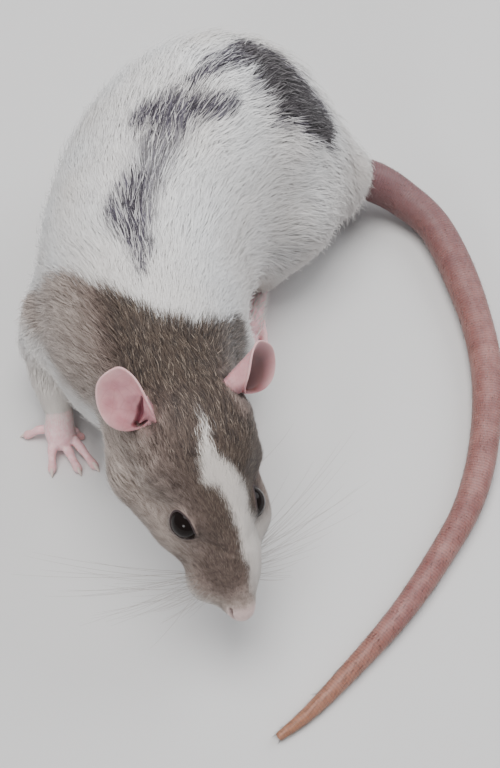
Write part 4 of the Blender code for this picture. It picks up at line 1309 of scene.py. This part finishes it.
def unwrap_whole(turn, along):
    """Places unrolled over the whole unwrap, stretched from edge to edge with room for one patch."""
    low, high = along.min(), along.max()
    return np.column_stack((0.996 * turn, 0.001 + 0.995 * (along - low) / max(high - low, 1e-9)))


def on_limbs(places):
    """Whether each place is on a limb, and its place unrolled round that limb."""
    distance, _, radius, _ = near_line(places, BODY_LINE)
    nearest = distance / radius
    on_limb = np.zeros(len(places), dtype=bool)
    unwrap = np.zeros((len(places), 2))
    for index, rows in enumerate(LIMBS):
        distance, _, radius, _ = near_line(places, rows)
        mine = (distance / radius < nearest) & (places[:, 2] < LIMBS_BELOW)
        nearest = np.where(mine, distance / radius, nearest)
        on_limb |= mine
        unwrap[mine] = unwrap_in_strip(places[mine], rows, index, len(LIMBS))
    return on_limb, unwrap


def make_coat(skin, hidden, bare, material):
    """Cover the skin with locks and set them out in pieces along the body."""
    points, triangles = skin
    normals = corner_normals(points, triangles)
    rng = np.random.default_rng(SEED)
    tree = BVHTree.FromPolygons(points.tolist(), triangles.tolist())
    middle = points[triangles].mean(axis=1)
    length, _, _, closeness = coat_at(middle).T
    covered = (1 - np.maximum(hidden, bare)[triangles].max(axis=1)) * closeness * (middle[:, 2] > 0.6)

    for kind, (least, most, count, rings) in LOCK_KINDS.items():
        allowed = (length >= least) & (length < most)
        chosen, shares = plant(points, triangles, covered * allowed, count, rng)
        locks = lay_locks((points, triangles, normals), tree, chosen, shares, rng)
        turn, along = unwrap_round(locks["place"], BODY_LINE)
        leg = np.zeros(count, dtype=bool)
        if kind != "long":
            leg, unwrap = on_limbs(locks["place"])
            add_locks("coat_legs_" + kind, locks, leg, rings, unwrap[leg], material, "white_fur")
        order = np.argsort(np.where(leg, np.inf, along), kind="stable")[:int((~leg).sum())]
        for name, part in zip(LOCK_PIECES[kind], np.array_split(order, len(LOCK_PIECES[kind]))):
            unwrap = unwrap_whole(turn[part], along[part])
            slot = "hood_fur" if name in BROWN_PIECES else "white_fur"
            add_locks(name, locks, part, rings, unwrap, material, slot)


# Paws, claws, tail and whiskers

def digit_rows(root, tip, height, radius):
    """The line of one digit from its knuckle to its round tip on the floor."""
    root = np.array((*root, height))
    tip = np.array((*tip, radius * 0.78))
    return [
        (*(mixed(root, tip, part) + (0.0, 0.0, lift)), radius * thick) for part, lift, thick in DIGIT_SHAPE
    ]


def claw_shape(tip, way, radius, length):
    """Points and triangles of a curved claw that narrows to a point ahead of its digit."""
    way = unit((way[0], way[1], 0.0))
    parts = np.linspace(0.0, 1.0, 9)
    path = tip + np.outer(length * parts - 0.55 * radius, way)
    path[:, 2] = (tip[2] + 0.35) * (1.0 - parts ** 2.2) + 0.10
    radii = radius * 0.62 * (1.0 - parts) ** 0.75 + 0.03
    return closed_faces(tube(path, radii, 10))


def paw_shapes(name):
    """The line of a paw's palm or sole, and its digits: root, tip, height, radius and length of the claw."""
    if name.startswith("forepaw"):
        shift = np.array((0.0, 0.0) if name == "forepaw_right" else FOREPAW_LEFT_SHIFT)
        palm = [(*(row[:2] + shift), *row[2:]) for row in FOREPAW_RIGHT["palm"]]
        digits = [(root + shift, tip + shift, 2.5, 1.02, 2.0) for root, tip in FOREPAW_RIGHT["digits"]]
        root, tip = FOREPAW_RIGHT["thumb"]
        return palm, [*digits, (root + shift, tip + shift, 1.8, 0.85, 0.9)]
    heel, ball = (np.array(place) for place in HINDPAWS[name])
    way = unit(ball - heel)
    across = np.array((-way[1], way[0]))
    digits = []
    for place, length in enumerate(HIND_DIGIT_LENGTHS, -2):
        angle = place * HIND_DIGIT_SPREAD
        toe_way = way * math.cos(angle) + across * math.sin(angle)
        root = ball + across * (place * HIND_KNUCKLE_SPACING)
        if abs(place) == 2:
            root = root - way * HIND_SIDE_SETBACK
        digits.append((root, root + toe_way * length, 2.0, 1.1, 2.2))
    return [(*mixed(heel, ball, place), height, radius) for place, height, radius in SOLE], digits


def make_paw(name, skin_material, claw_material):
    """One paw with jointed digits and pads, and its claws as a piece of their own."""
    line, digits = paw_shapes(name)
    knuckle = line[-1]
    shapes = balls_along(line, 16)
    claws = []
    for root, tip, height, radius, claw in digits:
        rows = digit_rows(root, tip, height, radius)
        web = ((*knuckle[:2], knuckle[2] - 0.3, knuckle[3] * 0.6), (*root, height, radius * 1.15))
        shapes += balls_along(rows, 30) + balls_along(web, 7)
        claws.append(claw_shape(np.array(rows[-1][:3]), tip - root, radius, claw))
    points, triangles = voxel_skin(shapes, PAW_VOXELS[name[:4]])
    points = smoothed(points, triangles, 1.0, 6)
    points[:, 2] = np.maximum(points[:, 2], 0.0)
    near_tip = np.min([lengths_of(points - (*digit[1], 1.0)) for digit in digits], axis=0)
    from_wrist = lengths_of(points - line[0][:3])
    none = np.zeros(len(points))
    places = np.column_stack((rise(2.6, 0.8, near_tip), rise(6.5, 2.5, from_wrist), none, none + 1.0))
    add_piece(name + "_skin", (points, triangles), skin_material, "paw_skin", name, places=places)
    claw_points, claw_triangles = join_shapes(claws)
    claw_points[:, 2] = np.maximum(claw_points[:, 2], 0.02)
    add_piece(name.replace("paw", "claws"), (claw_points, claw_triangles), claw_material, "paw_skin")
    return points, triangles, line


def make_paw_hairs(paws, material):
    """Short hairs over the wrists and the backs of the paws, fewer towards the digits."""
    points, triangles = join_shapes([paw[:2] for paw in paws])
    lines = [np.array(paw[2]) for paw in paws]
    normals = corner_normals(points, triangles)
    tree = BVHTree.FromPolygons(points.tolist(), triangles.tolist())
    middle = points[triangles].mean(axis=1)
    total = np.array([np.linalg.norm(line[-1, :3] - line[0, :3]) for line in lines])
    gaps, _, _, along = zip(*(near_line(middle, line) for line in lines))
    nearest = np.argmin(gaps, axis=0)
    part = np.choose(nearest, along) / total[nearest]
    gap = np.choose(nearest, gaps)
    upward = normals[triangles].mean(axis=1)[:, 2]
    weights = rise(1.25, 0.4, part + (gap - 2.6) / 9.0) * rise(-0.5, 0.2, upward)
    rng = np.random.default_rng(SEED + 3)
    chosen, shares = plant(points, triangles, weights, PAW_HAIRS, rng)
    locks = lay_locks((points, triangles, normals), tree, chosen, shares, rng)
    unwrap = np.zeros((PAW_HAIRS, 2))
    for index, line in enumerate(lines):
        mine = nearest[chosen] == index
        unwrap[mine] = unwrap_in_strip(locks["place"][mine], line, index, len(lines))
    add_locks("paw_hairs", locks, np.arange(PAW_HAIRS), ONE_RING, unwrap, material, "white_fur")


def tail_line():
    """Places down the middle of the tail with its radius, several to each ring of scales."""
    rows = smooth_rows(TAIL, 400)
    lengths = lengths_along(rows)
    count = int(lengths[-1] / TAIL_RING_PITCH) * TAIL_RINGS_PER_SCALE
    places = np.linspace(0.0, lengths[-1], count)
    return np.column_stack([np.interp(places, lengths, rows[:, column]) for column in range(4)])


def make_tail(material, hair_material):
    """The tail: overlapping rings of scales with a few short hairs from under each ring."""
    path = tail_line()
    count = len(path)
    phase = (np.arange(count) % TAIL_RINGS_PER_SCALE) / TAIL_RINGS_PER_SCALE
    ridge = np.where(phase == 0, -0.055, np.where(phase < 0.5, 0.012, 0.035))
    radii = path[:, 3] * 0.975 + ridge * np.clip(path[:, 3] / 3.0, 0.4, 1.1)
    sag = noise(path[:, :3], 14.0, 71) * 0.05
    rings = tube(path[:, :3], radii * (1 + sag), TAIL_SIDES)
    offset = (np.arange(count) // TAIL_RINGS_PER_SCALE % 2) * math.pi
    pads = 0.014 * np.cos(turns(TAIL_SIDES)[None] * (TAIL_SIDES / 2) + offset[:, None])
    rings += (rings - path[:, None, :3]) / radii[:, None, None] * pads[..., None]
    rings[-1] = mixed(path[-1, :3], rings[-1], 0.35)
    rings[:, :, 2] = np.maximum(rings[:, :, 2], 0.0)
    along = np.append(np.repeat(np.linspace(0.0, 1.0, count), TAIL_SIDES), (0.0, 1.0))
    groove = np.append(np.repeat(phase == 0, TAIL_SIDES), (0.0, 0.0))
    upward = np.append(((rings[:, :, 2] - path[:, None, 2]) / radii[:, None]).ravel(), (0.0, 0.0))
    places = np.column_stack((along, groove, 0.5 + 0.5 * upward, np.ones(len(along))))
    nodes = [f"tail_{index + 1}" for index in range(5)]
    add_piece("tail_scales", closed_faces(rings), material, "tail_skin", *nodes, places=places)
    make_tail_hairs(rings, path, hair_material)


def make_tail_hairs(rings, path, material):
    """A few short hairs from under each ring of scales, which point down the tail and a little outwards."""
    rng = np.random.default_rng(SEED + 1)
    hairy = np.arange(8 * TAIL_RINGS_PER_SCALE, len(path) - 2, TAIL_RINGS_PER_SCALE)
    picks = np.repeat(hairy, TAIL_HAIRS_TO_RING)
    sides = rng.integers(0, TAIL_SIDES, len(picks))
    roots = rings[picks, sides]
    keep = roots[:, 2] > 0.5
    picks, roots = picks[keep], roots[keep]
    outward = unit(roots - path[picks, :3])
    way = unit(np.gradient(path[:, :3], axis=0))[picks]
    ways = unit(way + outward * 0.26 + 0.16 * rng.normal(size=roots.shape))
    lengths = rng.uniform(0.9, 1.7, len(roots))
    roots = roots - outward * 0.05
    reach = ways * lengths[:, None]
    none = np.zeros(len(roots))
    locks = {
        "root": roots, "middle": roots + 0.5 * reach,
        "tip": roots + reach - np.outer(lengths, (0.0, 0.0, 0.04)),
        "normal": unit(np.cross(ways, np.cross(ways, (0.3, 0.2, 1.0)))), "width": none + TAIL_HAIR_WIDTH,
        "length": lengths, "marks": np.tile(TAIL_HAIR_MARKS, (len(roots), 1)),
        "random": noise(roots, 0.7, 61) * 0.5 + 0.5, "tuft": none + 0.5, "turn": none,
    }
    unwrap = unwrap_whole(*unwrap_round(roots, TAIL))
    every = np.arange(len(roots))
    add_locks("tail_hairs", locks, every, TAIL_HAIR_RINGS, unwrap, material, "white_fur")


def make_whiskers(points, triangles, material):
    """Whiskers in rows on the pads of the muzzle and one over the left eye, swept back a little."""
    tree = BVHTree.FromPolygons(points.tolist(), triangles.tolist())
    rng = np.random.default_rng(SEED + 2)
    rows = [
        (-4.6 - 0.75 * column - 0.12 * row, height, 8.0 + 3.1 * column - 1.2 * abs(row - 2),
         0.22 * (2 - row), 0.16 * column)
        for row, height in enumerate(WHISKER_HEIGHTS) for column in range(WHISKERS_TO_ROW)
    ]
    parts = np.linspace(0.0, 1.0, 12)
    shapes = []
    for side, group in ((1, [*rows, BROW_WHISKER]), (-1, rows)):
        for back, height, length, upward, backward in group:
            start = from_head((back, 14.0 * side, height))
            away = Vector(from_head((back, 0.0, height)) - start)
            place, normal, _, _ = tree.ray_cast(start.tolist(), away)
            if place is None:
                continue
            place = np.array(place) - 0.15 * np.array(normal)
            way = np.array((0.30 - backward * 0.55, side, upward)) + 0.17 * rng.normal(size=3)
            way = unit(way) @ HEAD_TURN.T
            bend = np.array((-0.45, 0.0, -0.10 - 0.1 * upward)) @ HEAD_TURN.T + 0.08 * rng.normal(size=3)
            length = length * rng.uniform(0.85, 1.1)
            path = place + np.outer(length * parts, way) + np.outer(length * 0.28 * parts ** 2, bend)
            path[:, 2] = np.maximum(path[:, 2], 0.4)
            radii = 0.032 * (1 - parts) ** 0.6 * (0.6 + 0.4 * length / 30.0) + 0.010
            shapes.append(closed_faces(tube(path, radii, 6)))
    add_piece("whiskers", join_shapes(shapes), material, "white_fur")


def make_eye(name, side, material):
    """One smooth eyeball with the clear bulge of its front."""
    centre, axes = eye_frame(side)
    points, triangles = ball_shape(5)
    front = rise(0.45, 1.0, points @ axes[2])
    points = centre + points * (EYE_RADIUS - 0.04 + 0.14 * front)[:, None]
    add_piece(name + "_ball", (points, triangles), material, "eye", name)


# Materials

def seen(red, green, blue, gain=1.0):
    """The surface colour that comes out as a picture's red, green and blue under the scene's light."""
    values = np.array((red, green, blue)) / 255.0
    linear = np.where(values > 0.04045, ((values + 0.055) / 1.055) ** 2.4, values / 12.92)
    return (*np.clip(linear / EXPOSURE * gain, 0.0, 0.94), 1.0)


def add_node_to(tree, kind, inputs=(), **settings):
    """Add a shader node, set what it is and link or set its inputs."""
    made = tree.nodes.new(kind)
    for key, value in settings.items():
        setattr(made, key, value)
    for key, value in inputs:
        if isinstance(value, bpy.types.NodeSocket):
            tree.links.new(value, made.inputs[key])
        else:
            made.inputs[key].default_value = value
    return made


def blend_colours(tree, share, first, second):
    """Mix two colours by a share."""
    inputs = ((0, share), (6, first), (7, second))
    return add_node_to(tree, "ShaderNodeMix", inputs, data_type="RGBA").outputs[2]


def layered(tree, colour, *layers):
    """Lay colours over a colour one after the other, each by its share."""
    for share, above in layers:
        colour = blend_colours(tree, share, colour, above)
    return colour


def blend_values(tree, first, second, share):
    """Mix two numbers by a share."""
    return add_node_to(tree, "ShaderNodeMix", ((0, share), (2, first), (3, second))).outputs[0]


def stretch(tree, value, low, high, to_low=0.0, to_high=1.0):
    """Map a value from one range to another and hold it there."""
    inputs = enumerate((value, low, high, to_low, to_high))
    return add_node_to(tree, "ShaderNodeMapRange", inputs, clamp=True).outputs[0]


def calculate(tree, operation, first, second):
    """Work out one number from two."""
    return add_node_to(tree, "ShaderNodeMath", ((0, first), (1, second)), operation=operation).outputs[0]


def times(tree, first, second):
    """One number times another."""
    return calculate(tree, "MULTIPLY", first, second)


def read_places(tree, name):
    """The four numbers kept at each point of a mesh."""
    attribute = add_node_to(tree, "ShaderNodeAttribute", attribute_name=name)
    parts = add_node_to(tree, "ShaderNodeSeparateColor", ((0, attribute.outputs["Color"]),))
    return (*parts.outputs, attribute.outputs["Alpha"])


def object_place(tree):
    """The object's own place, in metres."""
    return add_node_to(tree, "ShaderNodeTexCoord").outputs["Object"]


def spots(tree, scale, detail=3.0):
    """Noise with a scale in spots to the metre."""
    inputs = (("Vector", object_place(tree)), ("Scale", scale), ("Detail", detail), ("Roughness", 0.55))
    return add_node_to(tree, "ShaderNodeTexNoise", inputs).outputs[0]


def new_material(name, **sockets):
    """A material whose shader sockets are set by name, with its tree and its shader."""
    made = bpy.data.materials.new(name)
    made.use_nodes = True
    shader = made.node_tree.nodes["Principled BSDF"]
    for key, value in sockets.items():
        shader.inputs[key.replace("_", " ")].default_value = value
    return made, made.node_tree, shader


def paint(tree, shader, colour):
    """Give a shader its colour."""
    tree.links.new(colour, shader.inputs["Base Color"])


def bumped(tree, shader, height, strength, distance):
    """Let a height stand out of the surface."""
    inputs = (("Height", height), ("Strength", strength), ("Distance", distance))
    tree.links.new(add_node_to(tree, "ShaderNodeBump", inputs).outputs[0], shader.inputs["Normal"])


WHITE = seen(213, 214, 216, 1.25)
CREAM = seen(204, 196, 188, 1.25)
STRIPE_GREY = seen(106, 101, 114)
STRIPE_DARK = seen(54, 49, 57)
# Colours of the rump patch: partly a dark grey marking, partly painted shadow.
RUMP_GREY_AND_SHADOW = seen(76, 70, 74)
RUMP_DARK_AND_SHADOW = seen(34, 30, 32)
HOOD_DARK = seen(44, 38, 37)
HOOD_MIDDLE = seen(86, 72, 62)
HOOD_TIP = seen(154, 140, 126)
FACE_DARK = seen(68, 55, 50)
FACE_BROWN = seen(130, 112, 104)
FACE_SANDY = seen(152, 137, 128)
FACE_PALE = seen(212, 198, 188)
BLACK = (0.0, 0.0, 0.0, 1.0)


def grey_marks(tree, grey, chance, tone):
    """The colour of the grey marks, whose darkest patch on the rump is partly painted shadow, and how far
    they cover the white.
    """
    share = stretch(tree, tone, 0.25, 0.8)
    stripe = blend_colours(tree, share, STRIPE_DARK, STRIPE_GREY)
    rump = blend_colours(tree, share, RUMP_DARK_AND_SHADOW, RUMP_GREY_AND_SHADOW)
    colour = blend_colours(tree, stretch(tree, grey, 0.95, 1.25), stripe, rump)
    # White hairs lie over the grey ones, fewer of them where it is darkest.
    white_hairs = times(tree, stretch(tree, chance, 0.66, 0.76), stretch(tree, grey, 0.9, 1.25, 0.70, 0.15))
    return times(tree, stretch(tree, grey, 0.05, 0.85), calculate(tree, "SUBTRACT", 1.0, white_hairs)), colour


def coat_colour(tree, strand=None):
    """The colour of the coat from its marks. Along a strand the brown is banded from a grey root."""
    brown, grey, cream, pale = read_places(tree, "marks")
    white = blend_colours(tree, times(tree, cream, 0.8), WHITE, CREAM)
    if strand:
        chance, along, tuft, _ = strand
        tone = blend_values(tree, chance, tuft, 0.5)
    else:
        chance = tone = spots(tree, 420.0)
    colour = layered(tree, white, grey_marks(tree, grey, chance, tone))
    ticked = blend_colours(tree, stretch(tree, tone, 0.15, 0.80), HOOD_DARK, HOOD_MIDDLE)
    ticked = layered(tree, ticked, (stretch(tree, chance, 0.88, 0.97), HOOD_TIP))
    if strand:
        banded = times(tree, stretch(tree, along, 0.6, 0.85), stretch(tree, chance, 0.35, 0.8))
        ticked = layered(tree, ticked, (times(tree, banded, 0.5), HOOD_TIP))
    face = blend_colours(tree, stretch(tree, tone, 0.1, 0.7), FACE_DARK, FACE_BROWN)
    sandy = blend_colours(tree, stretch(tree, tone, 0.2, 0.8), FACE_SANDY, FACE_PALE)
    paler = stretch(tree, calculate(tree, "ADD", pale, times(tree, tone, 0.3)), 0.45, 1.25)
    ticked = layered(tree, ticked, (stretch(tree, pale, 0.0, 0.45), face), (paler, sandy))
    if strand:
        rooted = stretch(tree, along, 0.0, 0.4, 0.30, 0.0)
        rooted = times(tree, rooted, stretch(tree, pale, 0.2, 0.9, 1.0, 0.2))
        ticked = layered(tree, ticked, (rooted, HOOD_DARK))
    return blend_colours(tree, brown, colour, ticked)


def fur_material():
    """Fur for the locks of the coat, some of them a little darker."""
    made, tree, shader = new_material(
        "fur", Roughness=0.62, Specular_IOR_Level=0.28, Sheen_Weight=0.18, Sheen_Roughness=0.45,
    )
    strand = read_places(tree, "strand")
    darker = stretch(tree, strand[0], 0.0, 1.0, 0.0, 0.10)
    paint(tree, shader, layered(tree, coat_colour(tree, strand), (darker, BLACK)))
    return made


def skin_material():
    """Skin with the short hair lying on it: the coat's own marks, a pink nose, dark lids and painted shade in
    the grooves.
    """
    made, tree, shader = new_material(
        "skin", Roughness=0.66, Specular_IOR_Level=0.3, Sheen_Weight=0.12, Sheen_Roughness=0.5,
    )
    nose, lid, dark, pink = read_places(tree, "places")
    nose_colour = blend_colours(tree, spots(tree, 1500.0), seen(176, 151, 147), seen(208, 187, 183))
    paint(tree, shader, layered(
        tree, coat_colour(tree),
        (0.06, seen(150, 122, 118)),
        (times(tree, pink, 0.6), seen(168, 130, 126)),
        (nose, nose_colour),
        (lid, seen(52, 40, 41)),
        # Painted shade in the mouth, the nostrils and the groove under the nose.
        (times(tree, dark, 0.85), seen(50, 34, 36)),
    ))
    tree.links.new(stretch(tree, nose, 0.0, 1.0, 0.68, 0.38), shader.inputs["Roughness"])
    grain = calculate(tree, "ADD", spots(tree, 2600.0, 4.0), times(tree, spots(tree, 900.0), 0.6))
    bumped(tree, shader, grain, 0.5, 0.00012)
    return made


def bare_material(name, base, light, roughness, scale):
    """Bare pink skin with spots, which light goes into a little: its material, tree, shader and colour."""
    made, tree, shader = new_material(
        name, Roughness=roughness, Specular_IOR_Level=0.42, Subsurface_Weight=0.25, Subsurface_Scale=0.0012,
        Subsurface_Radius=(1.0, 0.35, 0.25), Sheen_Weight=0.10, Sheen_Roughness=0.4,
    )
    spotted = stretch(tree, spots(tree, scale, 4.0), 0.35, 0.68)
    return made, tree, shader, blend_colours(tree, spotted, base, light)


def ear_material():
    """Thin pink ear skin with faint veins, lighter along the rim, with painted shade in the canal and the
    slit, deep in the cup and over the inside of the left ear.
    """
    made, tree, shader, colour = bare_material(
        "ear_skin", seen(186, 130, 137), seen(202, 152, 155), 0.5, 420.0,
    )
    slit_shade, rim, low, _ = read_places(tree, "places")
    inputs = (("Vector", object_place(tree)), ("Scale", 380.0))
    cells = add_node_to(tree, "ShaderNodeTexVoronoi", inputs, feature="DISTANCE_TO_EDGE")
    paint(tree, shader, layered(
        tree, colour,
        (stretch(tree, cells.outputs["Distance"], 0.0, 0.06, 0.16, 0.0), seen(150, 86, 92)),
        # Painted shade deep in the cup and down the back towards the foot.
        (stretch(tree, low, 0.45, 0.95, 0.0, 0.55), seen(150, 96, 104)),
        # Painted shade over the whole inside of the left ear.
        (stretch(tree, low, 1.02, 1.40, 0.0, 0.9), seen(98, 70, 68)),
        # Painted shade in the slit and the canal.
        (times(tree, slit_shade, 0.85), seen(112, 46, 60)),
        (times(tree, rim, 0.5), seen(214, 182, 180)),
    ))
    bumped(tree, shader, spots(tree, 1600.0, 4.0), 0.35, 0.00010)
    return made


def paw_material():
    """Pink paw skin, duller at the tips of the digits and paler at the wrist, with fine creases."""
    made, tree, shader, colour = bare_material(
        "paw_skin", seen(222, 172, 177), seen(236, 200, 202), 0.55, 900.0,
    )
    tip, wrist, _, _ = read_places(tree, "places")
    paint(tree, shader, layered(
        tree, colour,
        (times(tree, tip, 0.5), seen(200, 160, 158)),
        (times(tree, wrist, 0.55), seen(214, 196, 192)),
    ))
    creases = calculate(tree, "ADD", spots(tree, 2200.0, 4.0), spots(tree, 5200.0, 2.0))
    bumped(tree, shader, creases, 0.5, 0.00014)
    return made


def tail_material():
    """Tail skin: pink-brown scales, darker between the rings, browner at the root and towards the tip."""
    made, tree, shader, colour = bare_material(
        "tail_skin", seen(126, 83, 80), seen(152, 109, 104), 0.48, 260.0,
    )
    along, groove, upward, _ = read_places(tree, "places")
    brown = blend_colours(tree, spots(tree, 90.0), seen(120, 82, 74), seen(152, 104, 86))
    paint(tree, shader, layered(
        tree, colour,
        (stretch(tree, upward, 0.35, 0.95, 0.75, 0.05), brown),
        (stretch(tree, along, 0.02, 0.38, 0.85, 0.0), seen(100, 72, 76)),
        (stretch(tree, along, 0.80, 1.0, 0.0, 0.75), seen(168, 120, 88)),
        (times(tree, groove, 0.42), seen(92, 62, 62)),
    ))
    bumped(tree, shader, spots(tree, 2400.0, 3.0), 0.3, 0.00008)
    return made


def plain_material(name, colour, lighter, scale, roughness, **sockets):
    """A smooth surface that varies faintly between two colours."""
    made, tree, shader = new_material(name, Roughness=roughness, **sockets)
    paint(tree, shader, blend_colours(tree, spots(tree, scale), colour, lighter))
    return made


def lightened(colour):
    """A colour made a quarter lighter."""
    return (*(min(1.0, value * 1.25) for value in colour[:3]), 1.0)


# Stage

def add_floor():
    """A plain pale floor."""
    mesh = bpy.data.meshes.new("floor")
    corners = [(-FLOOR_HALF, -FLOOR_HALF, 0), (FLOOR_HALF, -FLOOR_HALF, 0)]
    corners += [(FLOOR_HALF, FLOOR_HALF, 0), (-FLOOR_HALF, FLOOR_HALF, 0)]
    mesh.from_pydata(corners, [], [(0, 1, 2, 3)])
    mesh.materials.append(plain_material("floor", *FLOOR_COLOURS, 30.0, 0.75, Specular_IOR_Level=0.25))
    floor = add_item("floor", mesh)


def add_light(name, place, size, power, colour):
    """A soft round light that faces the rat."""
    light = bpy.data.lights.new(name, "AREA")
    light.shape = "DISK"
    light.size = size
    light.energy = power
    light.color = colour
    item = add_item(name, light)
    item.location = place
    item.rotation_euler = (Vector(LIT_PLACE) - Vector(place)).to_track_quat("-Z", "Y").to_euler()


def add_studio():
    """Soft light from overhead and two sides, and an even pale surround."""
    for name, light in LIGHTS.items():
        add_light(name, *light)
    world = bpy.data.worlds.new("surround")
    bpy.context.scene.world = world
    world.use_nodes = True
    background = world.node_tree.nodes["Background"]
    background.inputs["Color"].default_value = SURROUND
    background.inputs["Strength"].default_value = SURROUND_STRENGTH


def add_camera():
    """The camera at the photo's place and angle."""
    data = bpy.data.cameras.new("camera")
    data.sensor_fit = "AUTO"
    data.sensor_width = SENSOR
    data.lens = SENSOR * PICTURE_DISTANCE / PICTURE_HEIGHT
    data.clip_start = 0.01
    data.clip_end = 20.0
    camera = add_item("camera", data)
    camera.location = (np.array(CAMERA_PLACE) + SHIFT) * MM
    camera.rotation_euler = (CAMERA_TILT, 0.0, 0.0)
    bpy.context.scene.camera = camera


def add_skin(points, triangles, dark, lid):
    """Add the skin, with the coat's marks on it, how bare and pink it is and the painted shade of its
    grooves.
    """
    pink = rise(2.4, 0.2, beside_ears(points) + 0.4 * noise(points, 1.4, 81))
    places = np.column_stack((nose_share(points), lid, dark, pink))
    fewer, fewer_triangles, nearest = thinned(points, triangles)
    numbers = {"marks": markings(fewer), "places": places[nearest]}
    add_piece("skin", (fewer, fewer_triangles), skin_material(), "white_fur", *BODY_NODES, **numbers)


def build():
    """Make every piece, the stage and the camera."""
    add_camera()
    add_floor()
    add_studio()
    fur = fur_material()
    horn, black, pale = seen(196, 180, 172), (0.007, 0.0045, 0.004, 1.0), seen(150, 144, 141)
    claw_horn = plain_material("claw", horn, lightened(horn), 3000.0, 0.32, Specular_IOR_Level=0.5)
    eye_black = plain_material("eye", black, lightened(black), 500.0, 0.04, Specular_IOR_Level=0.12)
    whisker = plain_material("whisker", pale, lightened(pale), 2000.0, 0.35)

    points, triangles, dark = make_skin()
    ears = {name: ear_surface(name) for name in EARS}
    hidden = under_ears(points, ears)
    lid = np.zeros(len(points))
    bare = np.maximum(nose_share(points), dark > 0.25)
    for side in (1, -1):
        beyond, reach, _ = round_the_lids(points, side)
        near = reach < 5.0
        lid = np.maximum(lid, np.where(near, rise(0.46, 0.24, beyond), 0.0))
        bare = np.maximum(bare, near & (beyond < 0.42))
    add_skin(points, triangles, dark, lid)

    make_eye("eye_left", 1, eye_black)
    make_eye("eye_right", -1, eye_black)
    pink_ear = ear_material()
    for name, (*shape, places) in ears.items():
        add_piece(name + "_skin", shape, pink_ear, "ear_skin", name, places=places)
    pink_paw = paw_material()
    paws = [make_paw(name, pink_paw, claw_horn) for name in ("forepaw_left", "forepaw_right", *HINDPAWS)]
    make_paw_hairs(paws, fur)
    make_tail(tail_material(), fur)
    make_whiskers(points, triangles, whisker)
    make_coat((points, triangles), hidden, bare, fur)


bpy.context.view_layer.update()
build()
